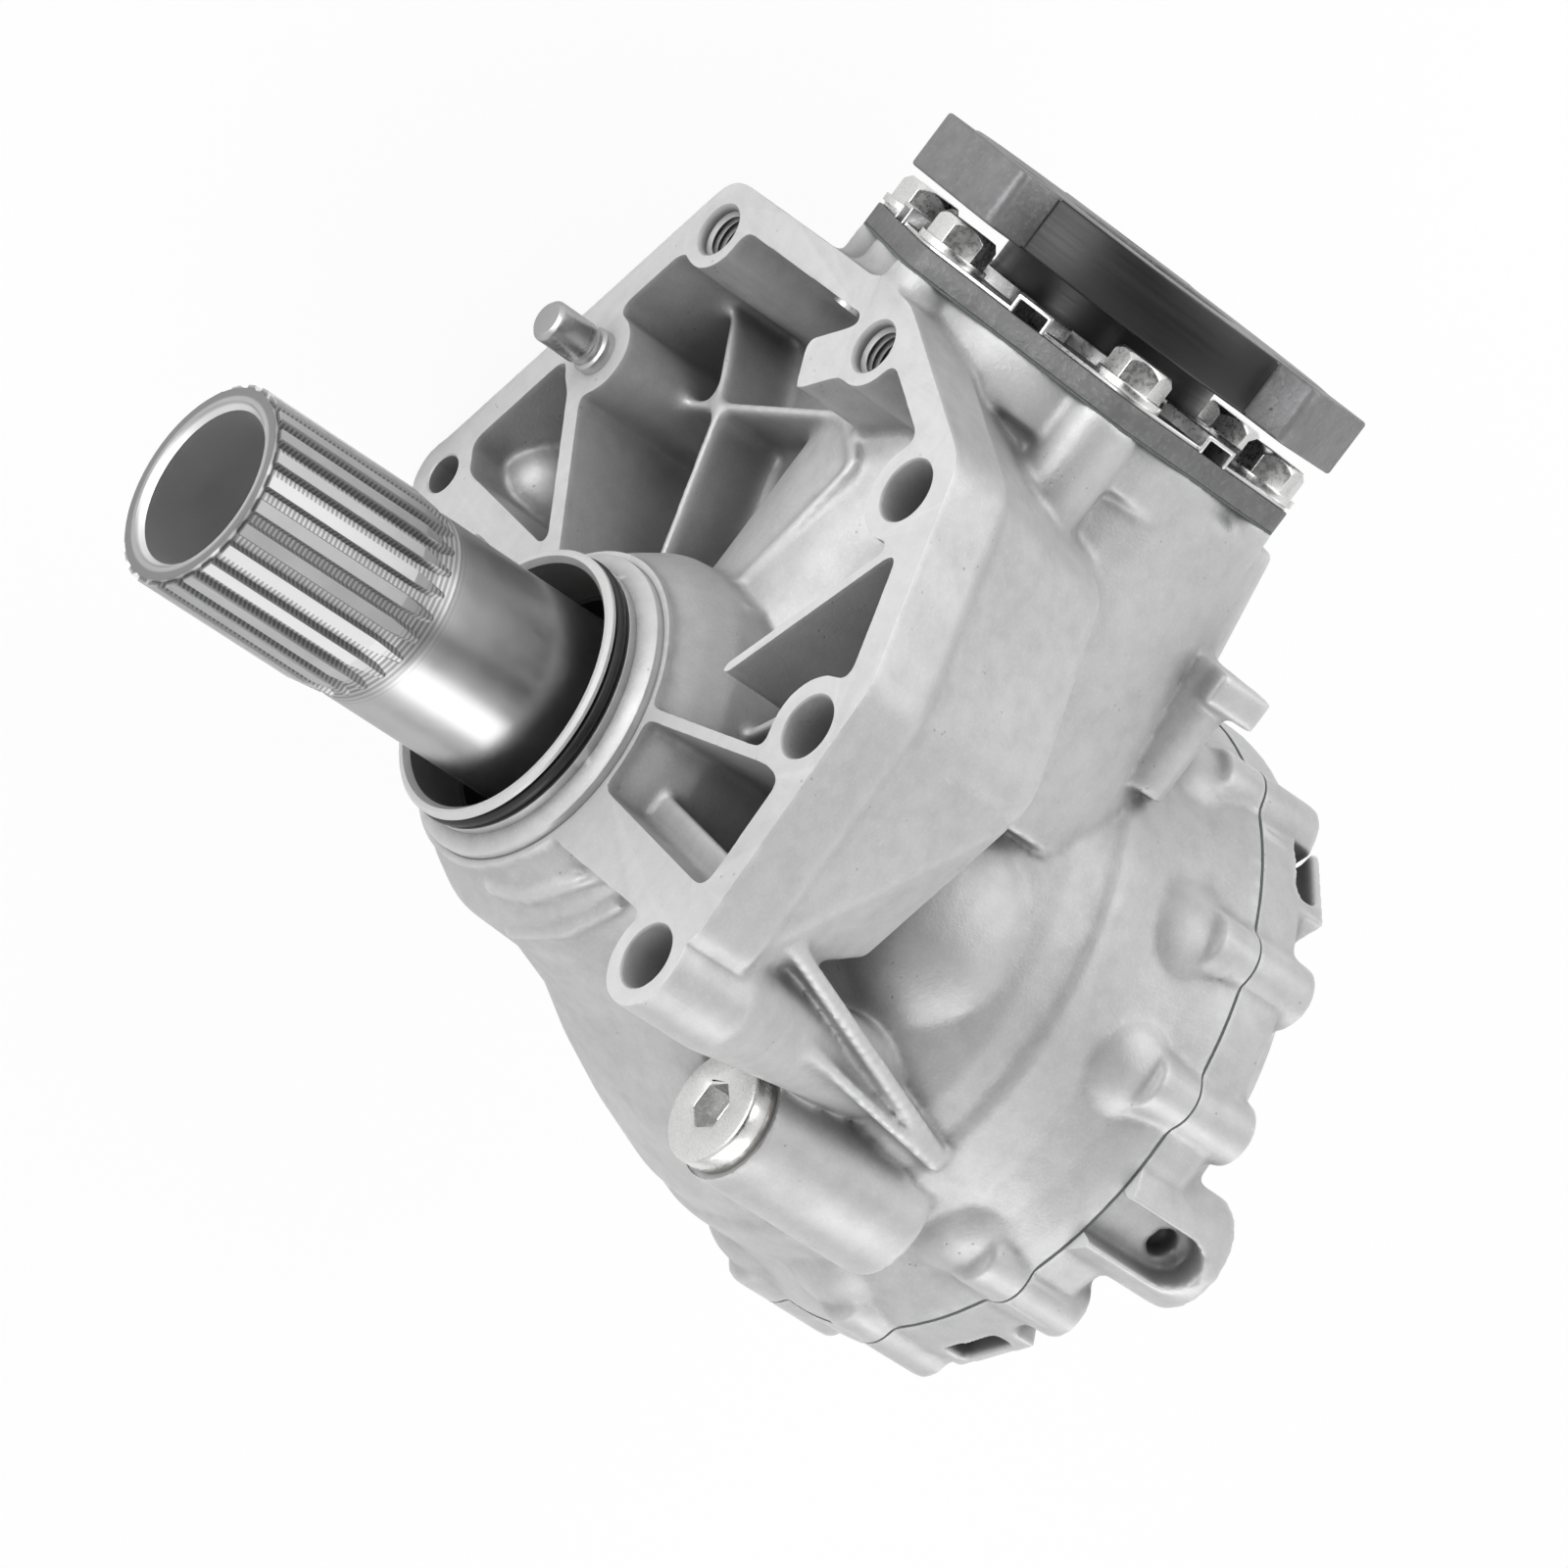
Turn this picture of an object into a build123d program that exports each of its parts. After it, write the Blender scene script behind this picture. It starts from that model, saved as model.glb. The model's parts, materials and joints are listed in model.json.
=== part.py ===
from build123d import *
import os
from math import atan, atan2, cos, degrees, hypot, pi, radians, sin, sqrt, tan

# A right-angle drive unit: a hollow splined input shaft along Y carries a crown gear,
# which turns a pinion along X and the flange on its end.
# The origin is where the input axis meets the machined mounting face.
# +X points out of the output flange, +Y out of the input spigot and +Z up.
# All lengths are in millimetres and all angles in degrees.

# Fits and clearances
running_clearance = 0.05
seat_clearance = 0.05
seal_lip_clearance = 0.05
screw_clearance = 0.06
gear_backlash = 0.30

# Axes
pinion_axis_y = -57.0

# Mounting face and the open bell behind it
flange_thickness = 16.0
flange_land = 9.0
bell_inset = 3.0
bell_draft = 9.0
bell_end_y = -56.0
pocket_floor_y = -38.0
pocket_draft = 5.0
hole_boss_wall = 4.5
bell_rib_thickness = 4.5
bell_rib_top_y = -18.0

# Mounting holes, placed by X and Z on the mounting face
bolt_hole_radius = 7.25
bolt_head_relief_radius = 9.5
small_hole_radius = 4.75
small_head_relief_radius = 7.5
tapped_hole_radius = 5.1
tapped_hole_depth = 24.0
bolt_hole_places = ((87.3, 61.9), (37.1, 85.4), (-20.7, 88.8))
small_hole_place = (20.9, -91.1)
tapped_hole_places = ((102.6, -59.3), (105.5, 18.9))
dowel_place = (64.3, -68.7)
dowel_radius = 5.0
dowel_foot_radius = 5.4
dowel_length = 26.0
dowel_reach = 16.0
dowel_boss_radius = 11.0

# Spigot
spigot_front_y = 12.0
spigot_bore_radius = 29.5
spigot_front_radius = 32.5
spigot_rear_radius = 36.5
o_ring_cord_radius = 1.6
o_ring_groove_depth = 2.4
o_ring_groove_width = 4.2
spigot_step_y = 4.0

seal_depth_y = 13.0
seal_width = 9.0

# Input shaft
shaft_free_end_y = 101.0
shaft_far_end_y = -181.0
shaft_bore_radius = 18.3
tube_radius = 22.85
spline_tip_radius = 24.0
spline_teeth = 26
spline_length = 52.0
spline_run_out = 9.0
bearing_seat_radius = 25.0
gear_flange_radius = 55.0
gear_flange_thickness = 9.0

# Input shaft bearings
shaft_bearing_outer_radius = 40.0
shaft_bearing_width = 18.0
shaft_roller_count = 16
front_bearing_y = -35.0
rear_bearing_y = -145.0
shim_thickness = 1.0

# Crown gear and pinion
ring_teeth = 33
pinion_teeth = 13
gear_module = 3.6
face_width = 20.0
ring_back_y = -98.0
ring_bore_radius = 34.0
ring_body_radius = 62.0
ring_bolt_circle = 46.0
ring_bolt_count = 10
ring_bolt_radius = 5.0
ring_bolt_grip = 14.0

# Drum around the crown gear, and its cover
drum_radius = 75.0
drum_wall = 5.0
drum_shoulder_y = -101.0
parting_y = -142.0
rim_radius = 81.0
rim_depth = 8.0
gasket_thickness = 0.6
cover_bolt_circle = 79.0
cover_bolt_boss_radius = 9.0
cover_boss_depth = 22.0
case_boss_depth = 24.0
cover_bolt_angles = (22.0, 55.0, 80.0, 121.0, 145.0, 180.0, 214.0, 248.0, 292.0, 326.0)
cover_neck_radius = 47.0
cover_end_y = -180.0
cover_wall = 5.0
lift_lug_angle = 101.0
lift_lug_circle = 73.0
lift_lug_radius = 14.0
lift_lug_end_y = -174.0

# Pinion housing
pinion_tube_radius = 36.5
pinion_barrel_radius = 48.0
barrel_end_x = 123.0
barrel_flange_radius = 51.0
barrel_flange_depth = 12.0
skirt_radius = 62.0
retainer_bolt_circle = 49.0
retainer_bolt_count = 6
retainer_bolt_first_angle = 10.0
retainer_boss_radius = 8.8
retainer_boss_depth = 30.0

# Pinion shaft and its bearings
pinion_bearing_bore_radius = 15.0
pinion_bearing_outer_radius = 31.0
pinion_bearing_width = 17.25
pinion_roller_count = 14
head_bearing_x = 66.0
tail_bearing_x = 99.0
pinion_spline_radius = 13.0
pinion_thread_radius = 11.0
pinion_end_x = 152.6

# Retainer, guard and output flange
retainer_gasket_thickness = 0.5
retainer_thickness = 5.3
retainer_lobe_radius = 8.6
retainer_pilot_depth = 5.5
pinion_seal_radius = 26.0
pinion_seal_width = 8.0
guard_thickness = 1.0
guard_joggle = 3.4
guard_channel_width = 9.5
guard_bore_radius = 31.0
hub_radius = 18.0
hub_shoulder_x = 133.0
deflector_radius = 27.85
deflector_wall = 1.2
flange_back_x = 140.6
flange_plate_thickness = 13.8
flange_round_radius = 48.0
flange_lobe_reach = 56.0
flange_lobe_half_width = 18.0
flange_lobe_count = 3
flange_first_lobe_angle = 4.0
flange_bolt_circle = 42.0
flange_bolt_hole_radius = 6.1
nut_recess_radius = 22.0
nut_recess_depth = 14.4
nut_across_flats = 32.0
nut_height = 10.0
washer_thickness = 2.0

# Flange-head bolts
m8_radius = 4.0
m8_across_flats = 13.0
m8_flange_radius = 8.5
m8_flange_height = 1.8
m8_head_height = 8.0
m8_length = 24.0

# Plugs
plug_place = (-44.8, 56.8)
plug_face_y = -65.0
plug_head_radius = 13.5
plug_head_height = 5.0
plug_gasket_height = 1.6
plug_thread_radius = 11.0
plug_thread_length = 13.0
plug_socket_flats = 10.0
plug_socket_depth = 7.0
plug_boss_radius = 15.0
drain_place_y = -122.0
drain_face_z = -79.0

pinion_axis = Axis((0, pinion_axis_y, 0), (1, 0, 0))
pitch_angle = degrees(atan(pinion_teeth / ring_teeth))
ring_pitch_radius = gear_module * ring_teeth / 2
pinion_pitch_radius = gear_module * pinion_teeth / 2
cone_distance = ring_pitch_radius / cos(radians(pitch_angle))


def rod_y(radius, y_low, y_high, x=0.0, z=0.0):
    """A round bar along Y."""
    middle = (y_low + y_high) / 2
    return Pos(x, middle, z) * Rot(90, 0, 0) * Cylinder(radius, y_high - y_low)


def rod_x(radius, x_low, x_high, y=pinion_axis_y, z=0.0):
    """A round bar along X, on the pinion axis unless placed elsewhere."""
    middle = (x_low + x_high) / 2
    return Pos(middle, y, z) * Rot(0, 90, 0) * Cylinder(radius, x_high - x_low)


def turned_y(*profile):
    """A solid turned about the input axis from (radius, y) points."""
    return revolve(make_face(Polyline(*profile, close=True)), Axis.Y, 360)


def turned_x(*profile):
    """A solid turned about the pinion axis from (x, radius) points."""
    points = [(x, pinion_axis_y + radius) for x, radius in profile]
    return revolve(make_face(Polyline(*points, close=True)), pinion_axis, 360)


def round_input(radius, angle):
    """X and Z of a point at an angle round the input axis, from +X towards +Z."""
    return radius * cos(radians(angle)), radius * sin(radians(angle))


def turn_about_pinion(shape, angle):
    """The shape turned about the pinion axis."""
    return Pos(0, pinion_axis_y, 0) * Rot(angle, 0, 0) * Pos(0, -pinion_axis_y, 0) * shape


def slab_y(face, y_top, depth):
    """A flat face drawn in X and Z, extruded from y_top towards -Y."""
    return extrude(Plane.XZ * Pos(0, 0, -y_top) * face, depth)


def hex_along_x(across_flats, x_low, x_high):
    """A hexagonal bar on the pinion axis."""
    face = RegularPolygon(across_flats / 2, 6, major_radius=False)
    placed = Pos(x_low, pinion_axis_y, 0) * Rot(0, 90, 0) * face
    return extrude(placed, x_high - x_low, dir=(1, 0, 0))


# Mounting face outline

mounting_corners = (
    (17.0, -102.6),
    (114.0, -67.0),
    (117.8, 20.0),
    (99.5, 71.0),
    (52.0, 95.5),
    (-14.0, 100.0),
    (-16.0, 66.0),
    (-18.0, 36.0),
    (17.0, -38.0),
)
mounting_corner_radii = (8.0, 9.0, 24.0, 14.0, 16.0, 6.0, 0.5, 4.0, 4.0)


def inset_corners(corners, amount):
    """The corners of an outline moved inwards by one amount from every side."""
    moved = []
    for index, corner in enumerate(corners):
        before = Vector(*corner) - Vector(*corners[index - 1])
        after = Vector(*corners[(index + 1) % len(corners)]) - Vector(*corner)
        normal_before = Vector(-before.Y, before.X).normalized()
        normal_after = Vector(-after.Y, after.X).normalized()
        reach = amount / (1 + normal_before.dot(normal_after))
        moved.append(Vector(*corner) + (normal_before + normal_after) * reach)
    return moved


def mounting_outline(inset=0.0):
    """The outline of the machined face in X and Z, or the same outline set inwards."""
    corners = inset_corners(mounting_corners, inset)
    radii = [max(0.5, radius - inset / 2) for radius in mounting_corner_radii]
    return make_face(FilletPolyline(*corners, radius=radii, close=True))


def tapered_slab(y_top, y_bottom, inset_top, inset_bottom):
    """A slab between two insets of the mounting outline, narrower at its lower end."""
    top = Plane.XZ * Pos(0, 0, -y_top) * mounting_outline(inset_top)
    bottom = Plane.XZ * Pos(0, 0, -y_bottom) * mounting_outline(inset_bottom)
    return loft([top.face(), bottom.face()], ruled=True)


# Case and cover castings

spigot_taper = (
    (38.5, -3.0),
    (41.5, -7.0),
    (45.2, -14.0),
    (46.2, -31.0),
    (51.6, -48.0),
    (60.0, -63.0),
    (66.8, -78.0),
    (drum_radius - 1.5, drum_shoulder_y + 6),
    (drum_radius, drum_shoulder_y - 3),
)


def drum_outside():
    """The turned outside of the case, from the spigot down to the cover joint."""
    groove_bottom = spigot_front_radius - o_ring_groove_depth
    groove_low = spigot_step_y + o_ring_groove_width / 2
    groove_high = groove_low + o_ring_groove_width
    profile = [
        (0, spigot_front_y),
        (spigot_front_radius - 1, spigot_front_y),
        (spigot_front_radius, spigot_front_y - 1),
        (spigot_front_radius, groove_high),
        (groove_bottom, groove_high),
        (groove_bottom, groove_low),
        (spigot_front_radius, groove_low),
        (spigot_front_radius, spigot_step_y),
        (spigot_rear_radius, spigot_step_y - 1.5),
        (spigot_rear_radius, -2.5),
        *spigot_taper,
        (drum_radius, parting_y + rim_depth + 4),
        (rim_radius, parting_y + rim_depth),
        (rim_radius, parting_y),
        (0, parting_y),
    ]
    return turned_y(*profile)


def drum_inside():
    """The bores, bearing seat and gear space inside the case, along the input axis."""
    seal_back_y = -seal_depth_y
    seat_y = front_bearing_y + shaft_bearing_width + shim_thickness
    wall = drum_wall
    return turned_y(
        (0, spigot_front_y + 1),
        (spigot_bore_radius + 1, spigot_front_y + 1),
        (spigot_bore_radius + 1, spigot_front_y),
        (spigot_bore_radius, spigot_front_y - 1),
        (spigot_bore_radius, seal_back_y),
        (spigot_bore_radius - 3, seal_back_y),
        (spigot_bore_radius - 3, seat_y),
        (shaft_bearing_outer_radius, seat_y),
        (shaft_bearing_outer_radius, front_bearing_y - 1),
        (46.6, -48.5),
        (55.0, -63.0),
        (63.0, -75.5),
        (drum_radius - wall, drum_shoulder_y + 6),
        (drum_radius - wall, parting_y - 1),
        (0, parting_y - 1),
    )


def pinion_outside():
    """The round housing round the pinion, its end flange and bolt columns."""
    barrel = rod_x(pinion_barrel_radius, 20, barrel_end_x)
    flange = rod_x(barrel_flange_radius, barrel_end_x - barrel_flange_depth, barrel_end_x)
    skirt_start = Plane((barrel_end_x - 4, pinion_axis_y - 2, 0), x_dir=(0, 1, 0), z_dir=(1, 0, 0))
    skirt_end = Plane((40, parting_y + skirt_radius, 0), x_dir=(0, 1, 0), z_dir=(1, 0, 0))
    skirt = loft([skirt_end * Circle(skirt_radius), skirt_start * Circle(barrel_flange_radius - 2)])
    body = barrel + flange + skirt
    for angle in retainer_bolt_angles:
        column = rod_x(
            retainer_boss_radius,
            barrel_end_x - retainer_boss_depth,
            barrel_end_x,
            *round_pinion(retainer_bolt_circle, angle),
        )
        body += column
    return body


def round_pinion(radius, angle):
    """Y and Z of a point at an angle round the pinion axis, from +Y towards +Z."""
    return pinion_axis_y + radius * cos(radians(angle)), radius * sin(radians(angle))


retainer_bolt_angles = [
    retainer_bolt_first_angle + 360 / retainer_bolt_count * index
    for index in range(retainer_bolt_count)
]


def pinion_inside():
    """The bearing seats and gear space inside the case, along the pinion axis."""
    head_seat_x = head_bearing_x + pinion_bearing_width
    gear_clear = pinion_pitch_radius + gear_module + 3
    return turned_x(
        (15, 0),
        (15, gear_clear),
        (head_bearing_x - 2, gear_clear),
        (head_bearing_x - 1, pinion_bearing_outer_radius),
        (head_seat_x, pinion_bearing_outer_radius),
        (head_seat_x, pinion_bearing_outer_radius - 3.5),
        (tail_bearing_x, pinion_bearing_outer_radius - 3.5),
        (tail_bearing_x, pinion_bearing_outer_radius),
        (barrel_end_x + 1, pinion_bearing_outer_radius),
        (barrel_end_x + 1, 0),
    )


def wall_between(start, end, thickness, y_top, y_bottom):
    """A straight rib between two points of the mounting face, given by X and Z."""
    run = Vector(*end) - Vector(*start)
    middle = (Vector(*start) + Vector(*end)) / 2
    turn = degrees(atan2(run.Y, run.X))
    rib = Rectangle(run.length, thickness)
    return slab_y(Pos(middle.X, middle.Y) * Rot(0, 0, turn) * rib, y_top, y_top - y_bottom)


def transfer_case():
    """The main casting: mounting bell, spigot, drum and pinion housing."""
    band = slab_y(mounting_outline(), 0, flange_thickness)
    bell = tapered_slab(-flange_thickness, bell_end_y, bell_inset, bell_inset + bell_draft)
    ears = [
        (bolt_hole_places[2], bolt_hole_radius + hole_boss_wall),
        (small_hole_place, small_hole_radius + hole_boss_wall + 1),
    ]
    body = band + bell + pinion_outside()
    for place, radius in ears:
        body += rod_y(radius, -flange_thickness, 0, *place)
        inner = Vector(*place) * 0.72
        body += wall_between(place, (inner.X, inner.Y), 2 * radius - 3, 0, -flange_thickness)
    body -= bell_pocket()
    tube = rod_x(pinion_tube_radius, 20, barrel_end_x)
    for piece in [tube, drum_outside(), *case_ribs(), *cover_bosses_on_case(),
                  plug_boss(), drain_boss(), side_lug()]:
        body += piece
    body -= [drum_inside(), pinion_inside()]
    body -= mounting_holes()
    body -= [
        rod_x(m8_radius + screw_clearance, barrel_end_x - m8_length + retainer_thickness + 1,
              barrel_end_x + 1, *round_pinion(retainer_bolt_circle, angle))
        for angle in retainer_bolt_angles
    ]
    body -= [
        rod_y(m8_radius + screw_clearance, parting_y - 1, parting_y + cover_bolt_depth,
              *round_input(cover_bolt_circle, angle))
        for angle in cover_bolt_angles
    ]
    body -= plug_hole()
    return body - drain_hole()


cover_bolt_depth = 16.0


def bell_pocket():
    """The open pocket of the bell, leaving the bosses round the mounting holes."""
    pocket = tapered_slab(1, pocket_floor_y, flange_land, flange_land + pocket_draft)
    keep = [
        rod_y(bolt_head_relief_radius + hole_boss_wall, pocket_floor_y - 5, 0, *place)
        for place in bolt_hole_places
    ]
    keep += [
        rod_y(tapped_hole_radius + hole_boss_wall + 1.5, pocket_floor_y - 5, 0, *place)
        for place in tapped_hole_places
    ]
    keep.append(rod_y(small_head_relief_radius + hole_boss_wall, pocket_floor_y - 5, 0, *small_hole_place))
    keep.append(rod_y(dowel_boss_radius, pocket_floor_y - 5, 0, *dowel_place))
    return pocket - keep


def case_ribs():
    """The machined and the cast ribs inside the bell, and the gusset behind it."""
    thickness = bell_rib_thickness
    ribs = [
        wall_between((57, -70), (20, -28), 6.0, 0, pocket_floor_y - 4),
        wall_between((72, 69), (27, 37), 3.4, 0, pocket_floor_y - 4),
        wall_between((27, 84), (14, 46), thickness, 0, pocket_floor_y - 4),
        wall_between((-6, 90), (-6, 30), 17.0, -1.5, pocket_floor_y - 4),
        wall_between((64, -66), (64, 44), thickness, bell_rib_top_y, pocket_floor_y - 8),
        wall_between((36, -46), (104, 34), thickness, bell_rib_top_y, pocket_floor_y - 8),
        wall_between((30, 30), (104, -30), thickness, bell_rib_top_y + 1, pocket_floor_y - 8),
    ]
    return ribs + [gusset()]


def gusset():
    """The tapered rib from the back of the mounting face down to the drum."""
    high = Plane((-6, -flange_thickness + 6, 68), x_dir=(1, 0, 0), z_dir=(0, -1, 0))
    low = Plane((-27, drum_shoulder_y - 5, 64), x_dir=(1, 0, 0), z_dir=(0, -1, 0))
    return loft([high * Rectangle(8, 60), low * Rectangle(4, 22)])


def cover_bosses_on_case():
    """The bolt bosses along the cover joint, on the case side."""
    bosses = []
    for angle in cover_bolt_angles:
        place = round_input(cover_bolt_circle, angle)
        top_y = parting_y + case_boss_depth
        bosses.append(rod_y(cover_bolt_boss_radius, parting_y, top_y, *place))
        bosses.append(Pos(place[0], top_y, place[1]) * Sphere(cover_bolt_boss_radius))
    return bosses


def plug_boss():
    """The boss that the filler plug screws into."""
    return rod_y(plug_boss_radius, drum_shoulder_y - 12, plug_face_y, *plug_place)


def plug_hole():
    """The threaded hole of the filler plug and the spot face round it."""
    hole = rod_y(plug_thread_radius + screw_clearance, drum_shoulder_y - 6, plug_face_y + 1, *plug_place)
    return hole + rod_y(plug_head_radius + 1.2, plug_face_y, plug_face_y + 20, *plug_place)


def side_lug():
    """The small lug with a machined pad beside the pinion housing."""
    column = rod_x(7.0, 62, 94, -104, 46)
    pad = Pos(90, -106, 52) * Box(8, 15, 9)
    return column + pad


def mounting_holes():
    """All holes of the mounting face."""
    cuts = []
    for place in bolt_hole_places:
        cuts.append(rod_y(bolt_hole_radius, -flange_thickness - 1, 1, *place))
        cuts.append(rod_y(bolt_head_relief_radius, bell_end_y - 20, -flange_thickness, *place))
    cuts.append(rod_y(small_hole_radius, -flange_thickness - 1, 1, *small_hole_place))
    cuts.append(rod_y(small_head_relief_radius, bell_end_y - 20, -flange_thickness, *small_hole_place))
    for place in tapped_hole_places:
        cuts.append(rod_y(tapped_hole_radius, -tapped_hole_depth, 1, *place))
    dowel_depth = dowel_length - dowel_reach
    cuts.append(rod_y(dowel_foot_radius, -dowel_depth, 1, *dowel_place))
    return cuts


def transfer_cover():
    """The dished cover with its bolt bosses, bearing hub, lug and seal neck."""
    top_y = parting_y - gasket_thickness
    seat_low_y = rear_bearing_y - shaft_bearing_width - shim_thickness
    outside = turned_y(
        (0, top_y),
        (rim_radius, top_y),
        (rim_radius, top_y - 12),
        (drum_radius, top_y - 17),
        (drum_radius - 8, top_y - 25),
        (cover_neck_radius + 6, top_y - 30),
        (cover_neck_radius, top_y - 34),
        (cover_neck_radius - 2, cover_end_y),
        (0, cover_end_y),
    )
    body = outside
    for angle in cover_bolt_angles:
        place = round_input(cover_bolt_circle, angle)
        body += rod_y(cover_bolt_boss_radius, top_y - cover_boss_depth, top_y, *place)
    lug_place = round_input(lift_lug_circle, lift_lug_angle)
    body += rod_y(lift_lug_radius, lift_lug_end_y, top_y, *lug_place)
    hub_outer = shaft_bearing_outer_radius + 4.5
    inner = drum_radius - drum_wall
    body -= turned_y(
        (hub_outer, top_y + 1),
        (inner, top_y + 1),
        (inner, top_y - 12),
        (inner - 7, top_y - 20),
        (hub_outer + 2, top_y - 25),
        (hub_outer, top_y - 20),
    )
    body -= turned_y(
        (0, top_y + 1),
        (shaft_bearing_outer_radius, top_y + 1),
        (shaft_bearing_outer_radius, seat_low_y),
        (spigot_bore_radius + 1.5, seat_low_y),
        (spigot_bore_radius + 1.5, cover_end_y + seal_width + 2),
        (end_seal_radius, cover_end_y + seal_width + 2),
        (end_seal_radius, cover_end_y - 1),
        (0, cover_end_y - 1),
    )
    for angle in cover_bolt_angles:
        place = round_input(cover_bolt_circle, angle)
        body -= rod_y(m8_radius + screw_clearance, top_y - cover_boss_depth - 1, top_y + 1, *place)
    return body


end_seal_radius = 34.0


def ring_about_y(inner, outer, y_low, y_high, x=0.0, z=0.0):
    """A plain ring about an axis along Y."""
    return rod_y(outer, y_low, y_high, x, z) - rod_y(inner, y_low - 1, y_high + 1, x, z)


def ring_about_x(inner, outer, x_low, x_high, y=pinion_axis_y, z=0.0):
    """A plain ring about an axis along X."""
    return rod_x(outer, x_low, x_high, y, z) - rod_x(inner, x_low - 1, x_high + 1, y, z)


# Input shaft and crown gear

def input_shaft():
    """The hollow shaft with its external spline and the flange for the crown gear."""
    rear_seat_y = rear_bearing_y
    front_shoulder_y = front_bearing_y
    shaft = turned_y(
        (shaft_bore_radius + 1.5, shaft_free_end_y),
        (spline_tip_radius - 1.2, shaft_free_end_y),
        (spline_tip_radius - 1.2, shaft_free_end_y - 1),
        (tube_radius - 0.9, shaft_free_end_y - 2),
        (tube_radius - 0.9, shaft_free_end_y - spline_length + 3),
        (tube_radius, shaft_free_end_y - spline_length - 2),
        (tube_radius, -seal_depth_y - 0.5),
        (bearing_seat_radius - 0.8, -seal_depth_y - 1.5),
        (bearing_seat_radius, -seal_depth_y - 2.3),
        (bearing_seat_radius, front_shoulder_y),
        (bearing_seat_radius + 4, front_shoulder_y),
        (bearing_seat_radius + 4, front_shoulder_y - 5),
        (bearing_seat_radius + 2, front_shoulder_y - 7),
        (bearing_seat_radius + 2, ring_back_y + 16),
        (ring_bore_radius, ring_back_y + 16),
        (ring_bore_radius, ring_back_y),
        (gear_flange_radius, ring_back_y),
        (gear_flange_radius, ring_back_y - gear_flange_thickness),
        (ring_bolt_circle - 9, ring_back_y - gear_flange_thickness),
        (bearing_seat_radius + 4, ring_back_y - gear_flange_thickness - 6),
        (bearing_seat_radius + 4, rear_seat_y + 6),
        (bearing_seat_radius + 4, rear_seat_y),
        (bearing_seat_radius, rear_seat_y),
        (bearing_seat_radius, shaft_far_end_y + 1),
        (bearing_seat_radius - 1, shaft_far_end_y),
        (shaft_bore_radius + 1, shaft_far_end_y),
        (shaft_bore_radius, shaft_far_end_y + 1),
        (shaft_bore_radius, shaft_free_end_y - 1.5),
    )
    shaft += spline_lands()
    holes = []
    for index in range(ring_bolt_count):
        place = round_input(ring_bolt_circle, 360 / ring_bolt_count * (index + 0.5))
        holes.append(rod_y(ring_bolt_radius + screw_clearance, ring_back_y - gear_flange_thickness - 3,
                           ring_back_y + 1, *place))
    return shaft - holes


def spline_lands():
    """The raised lands of the spline, tapered to nothing at their inner end."""
    pitch = 2 * pi * spline_tip_radius / spline_teeth
    root_width = 0.66 * pitch
    tip_width = 0.46 * pitch
    low = tube_radius - 1.6
    face = make_face(Polyline(
        (-root_width / 2, low),
        (root_width / 2, low),
        (tip_width / 2, spline_tip_radius),
        (-tip_width / 2, spline_tip_radius),
        close=True,
    ))
    straight_end_y = shaft_free_end_y - spline_length + spline_run_out
    land = slab_y(face, shaft_free_end_y - 1, shaft_free_end_y - 1 - straight_end_y)
    tip_face = make_face(Polyline(
        (-root_width / 2, low),
        (root_width / 2, low),
        (tip_width / 8, tube_radius + 0.1),
        (-tip_width / 8, tube_radius + 0.1),
        close=True,
    ))
    run_out = loft(
        [
            (Plane.XZ * Pos(0, 0, -straight_end_y) * face).face(),
            (Plane.XZ * Pos(0, 0, -straight_end_y + spline_run_out) * tip_face).face(),
        ],
        ruled=True,
    )
    land += run_out
    return [Rot(0, 360 / spline_teeth * index, 0) * land for index in range(spline_teeth)]


def involute_profile(teeth, cone_angle, thinning):
    """Half of a bevel tooth at its large end, as (sideways, height) from the pitch cone."""
    pitch_radius = gear_module * teeth / 2 / cos(radians(cone_angle))
    equivalent_teeth = teeth / cos(radians(cone_angle))
    base_radius = pitch_radius * cos(radians(20))
    outer_radius = pitch_radius + addendum
    root_radius = pitch_radius - dedendum
    pitch_roll = tan(radians(20))
    half_angle = pi / 2 / equivalent_teeth - thinning / 2 / pitch_radius
    half_angle += pitch_roll - radians(20)
    start_radius = max(base_radius, root_radius)
    points = []
    steps = 4
    for step in range(steps + 1):
        radius = start_radius + (outer_radius - start_radius) * step / steps
        roll = sqrt(max(0.0, (radius / base_radius) ** 2 - 1))
        angle = half_angle - (roll - atan(roll))
        points.append((radius * sin(angle), radius * cos(angle) - pitch_radius))
    foot = points[0][0] + 0.15
    points.insert(0, (foot, -dedendum - 1.2))
    return points


addendum = gear_module * 0.85
dedendum = gear_module * 1.1


def bevel_teeth(teeth, cone_angle):
    """Teeth round +X with the cone apex at the origin, one of them towards +Y."""
    half = involute_profile(teeth, cone_angle, gear_backlash)
    outline = [(-side, height) for side, height in half] + [(side, height) for side, height in reversed(half)]
    sections = []
    for share in (1.0, (cone_distance - face_width) / cone_distance):
        origin = Vector(cos(radians(cone_angle)), sin(radians(cone_angle)), 0) * cone_distance * share
        normal = Vector(-sin(radians(cone_angle)), cos(radians(cone_angle)), 0)
        wire = [origin + normal * height * share + Vector(0, 0, side * share) for side, height in outline]
        sections.append(make_face(Polyline(*wire, close=True)).face())
    tooth = loft(sections, ruled=True)
    return [Rot(360 / teeth * index, 0, 0) * tooth for index in range(teeth)]


def cone_point(cone_angle, share, height):
    """A (along, radius) point of a bevel gear, at a share of the cone distance."""
    along = cos(radians(cone_angle)) * cone_distance * share - sin(radians(cone_angle)) * height
    radius = sin(radians(cone_angle)) * cone_distance * share + cos(radians(cone_angle)) * height
    return along, radius


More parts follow.
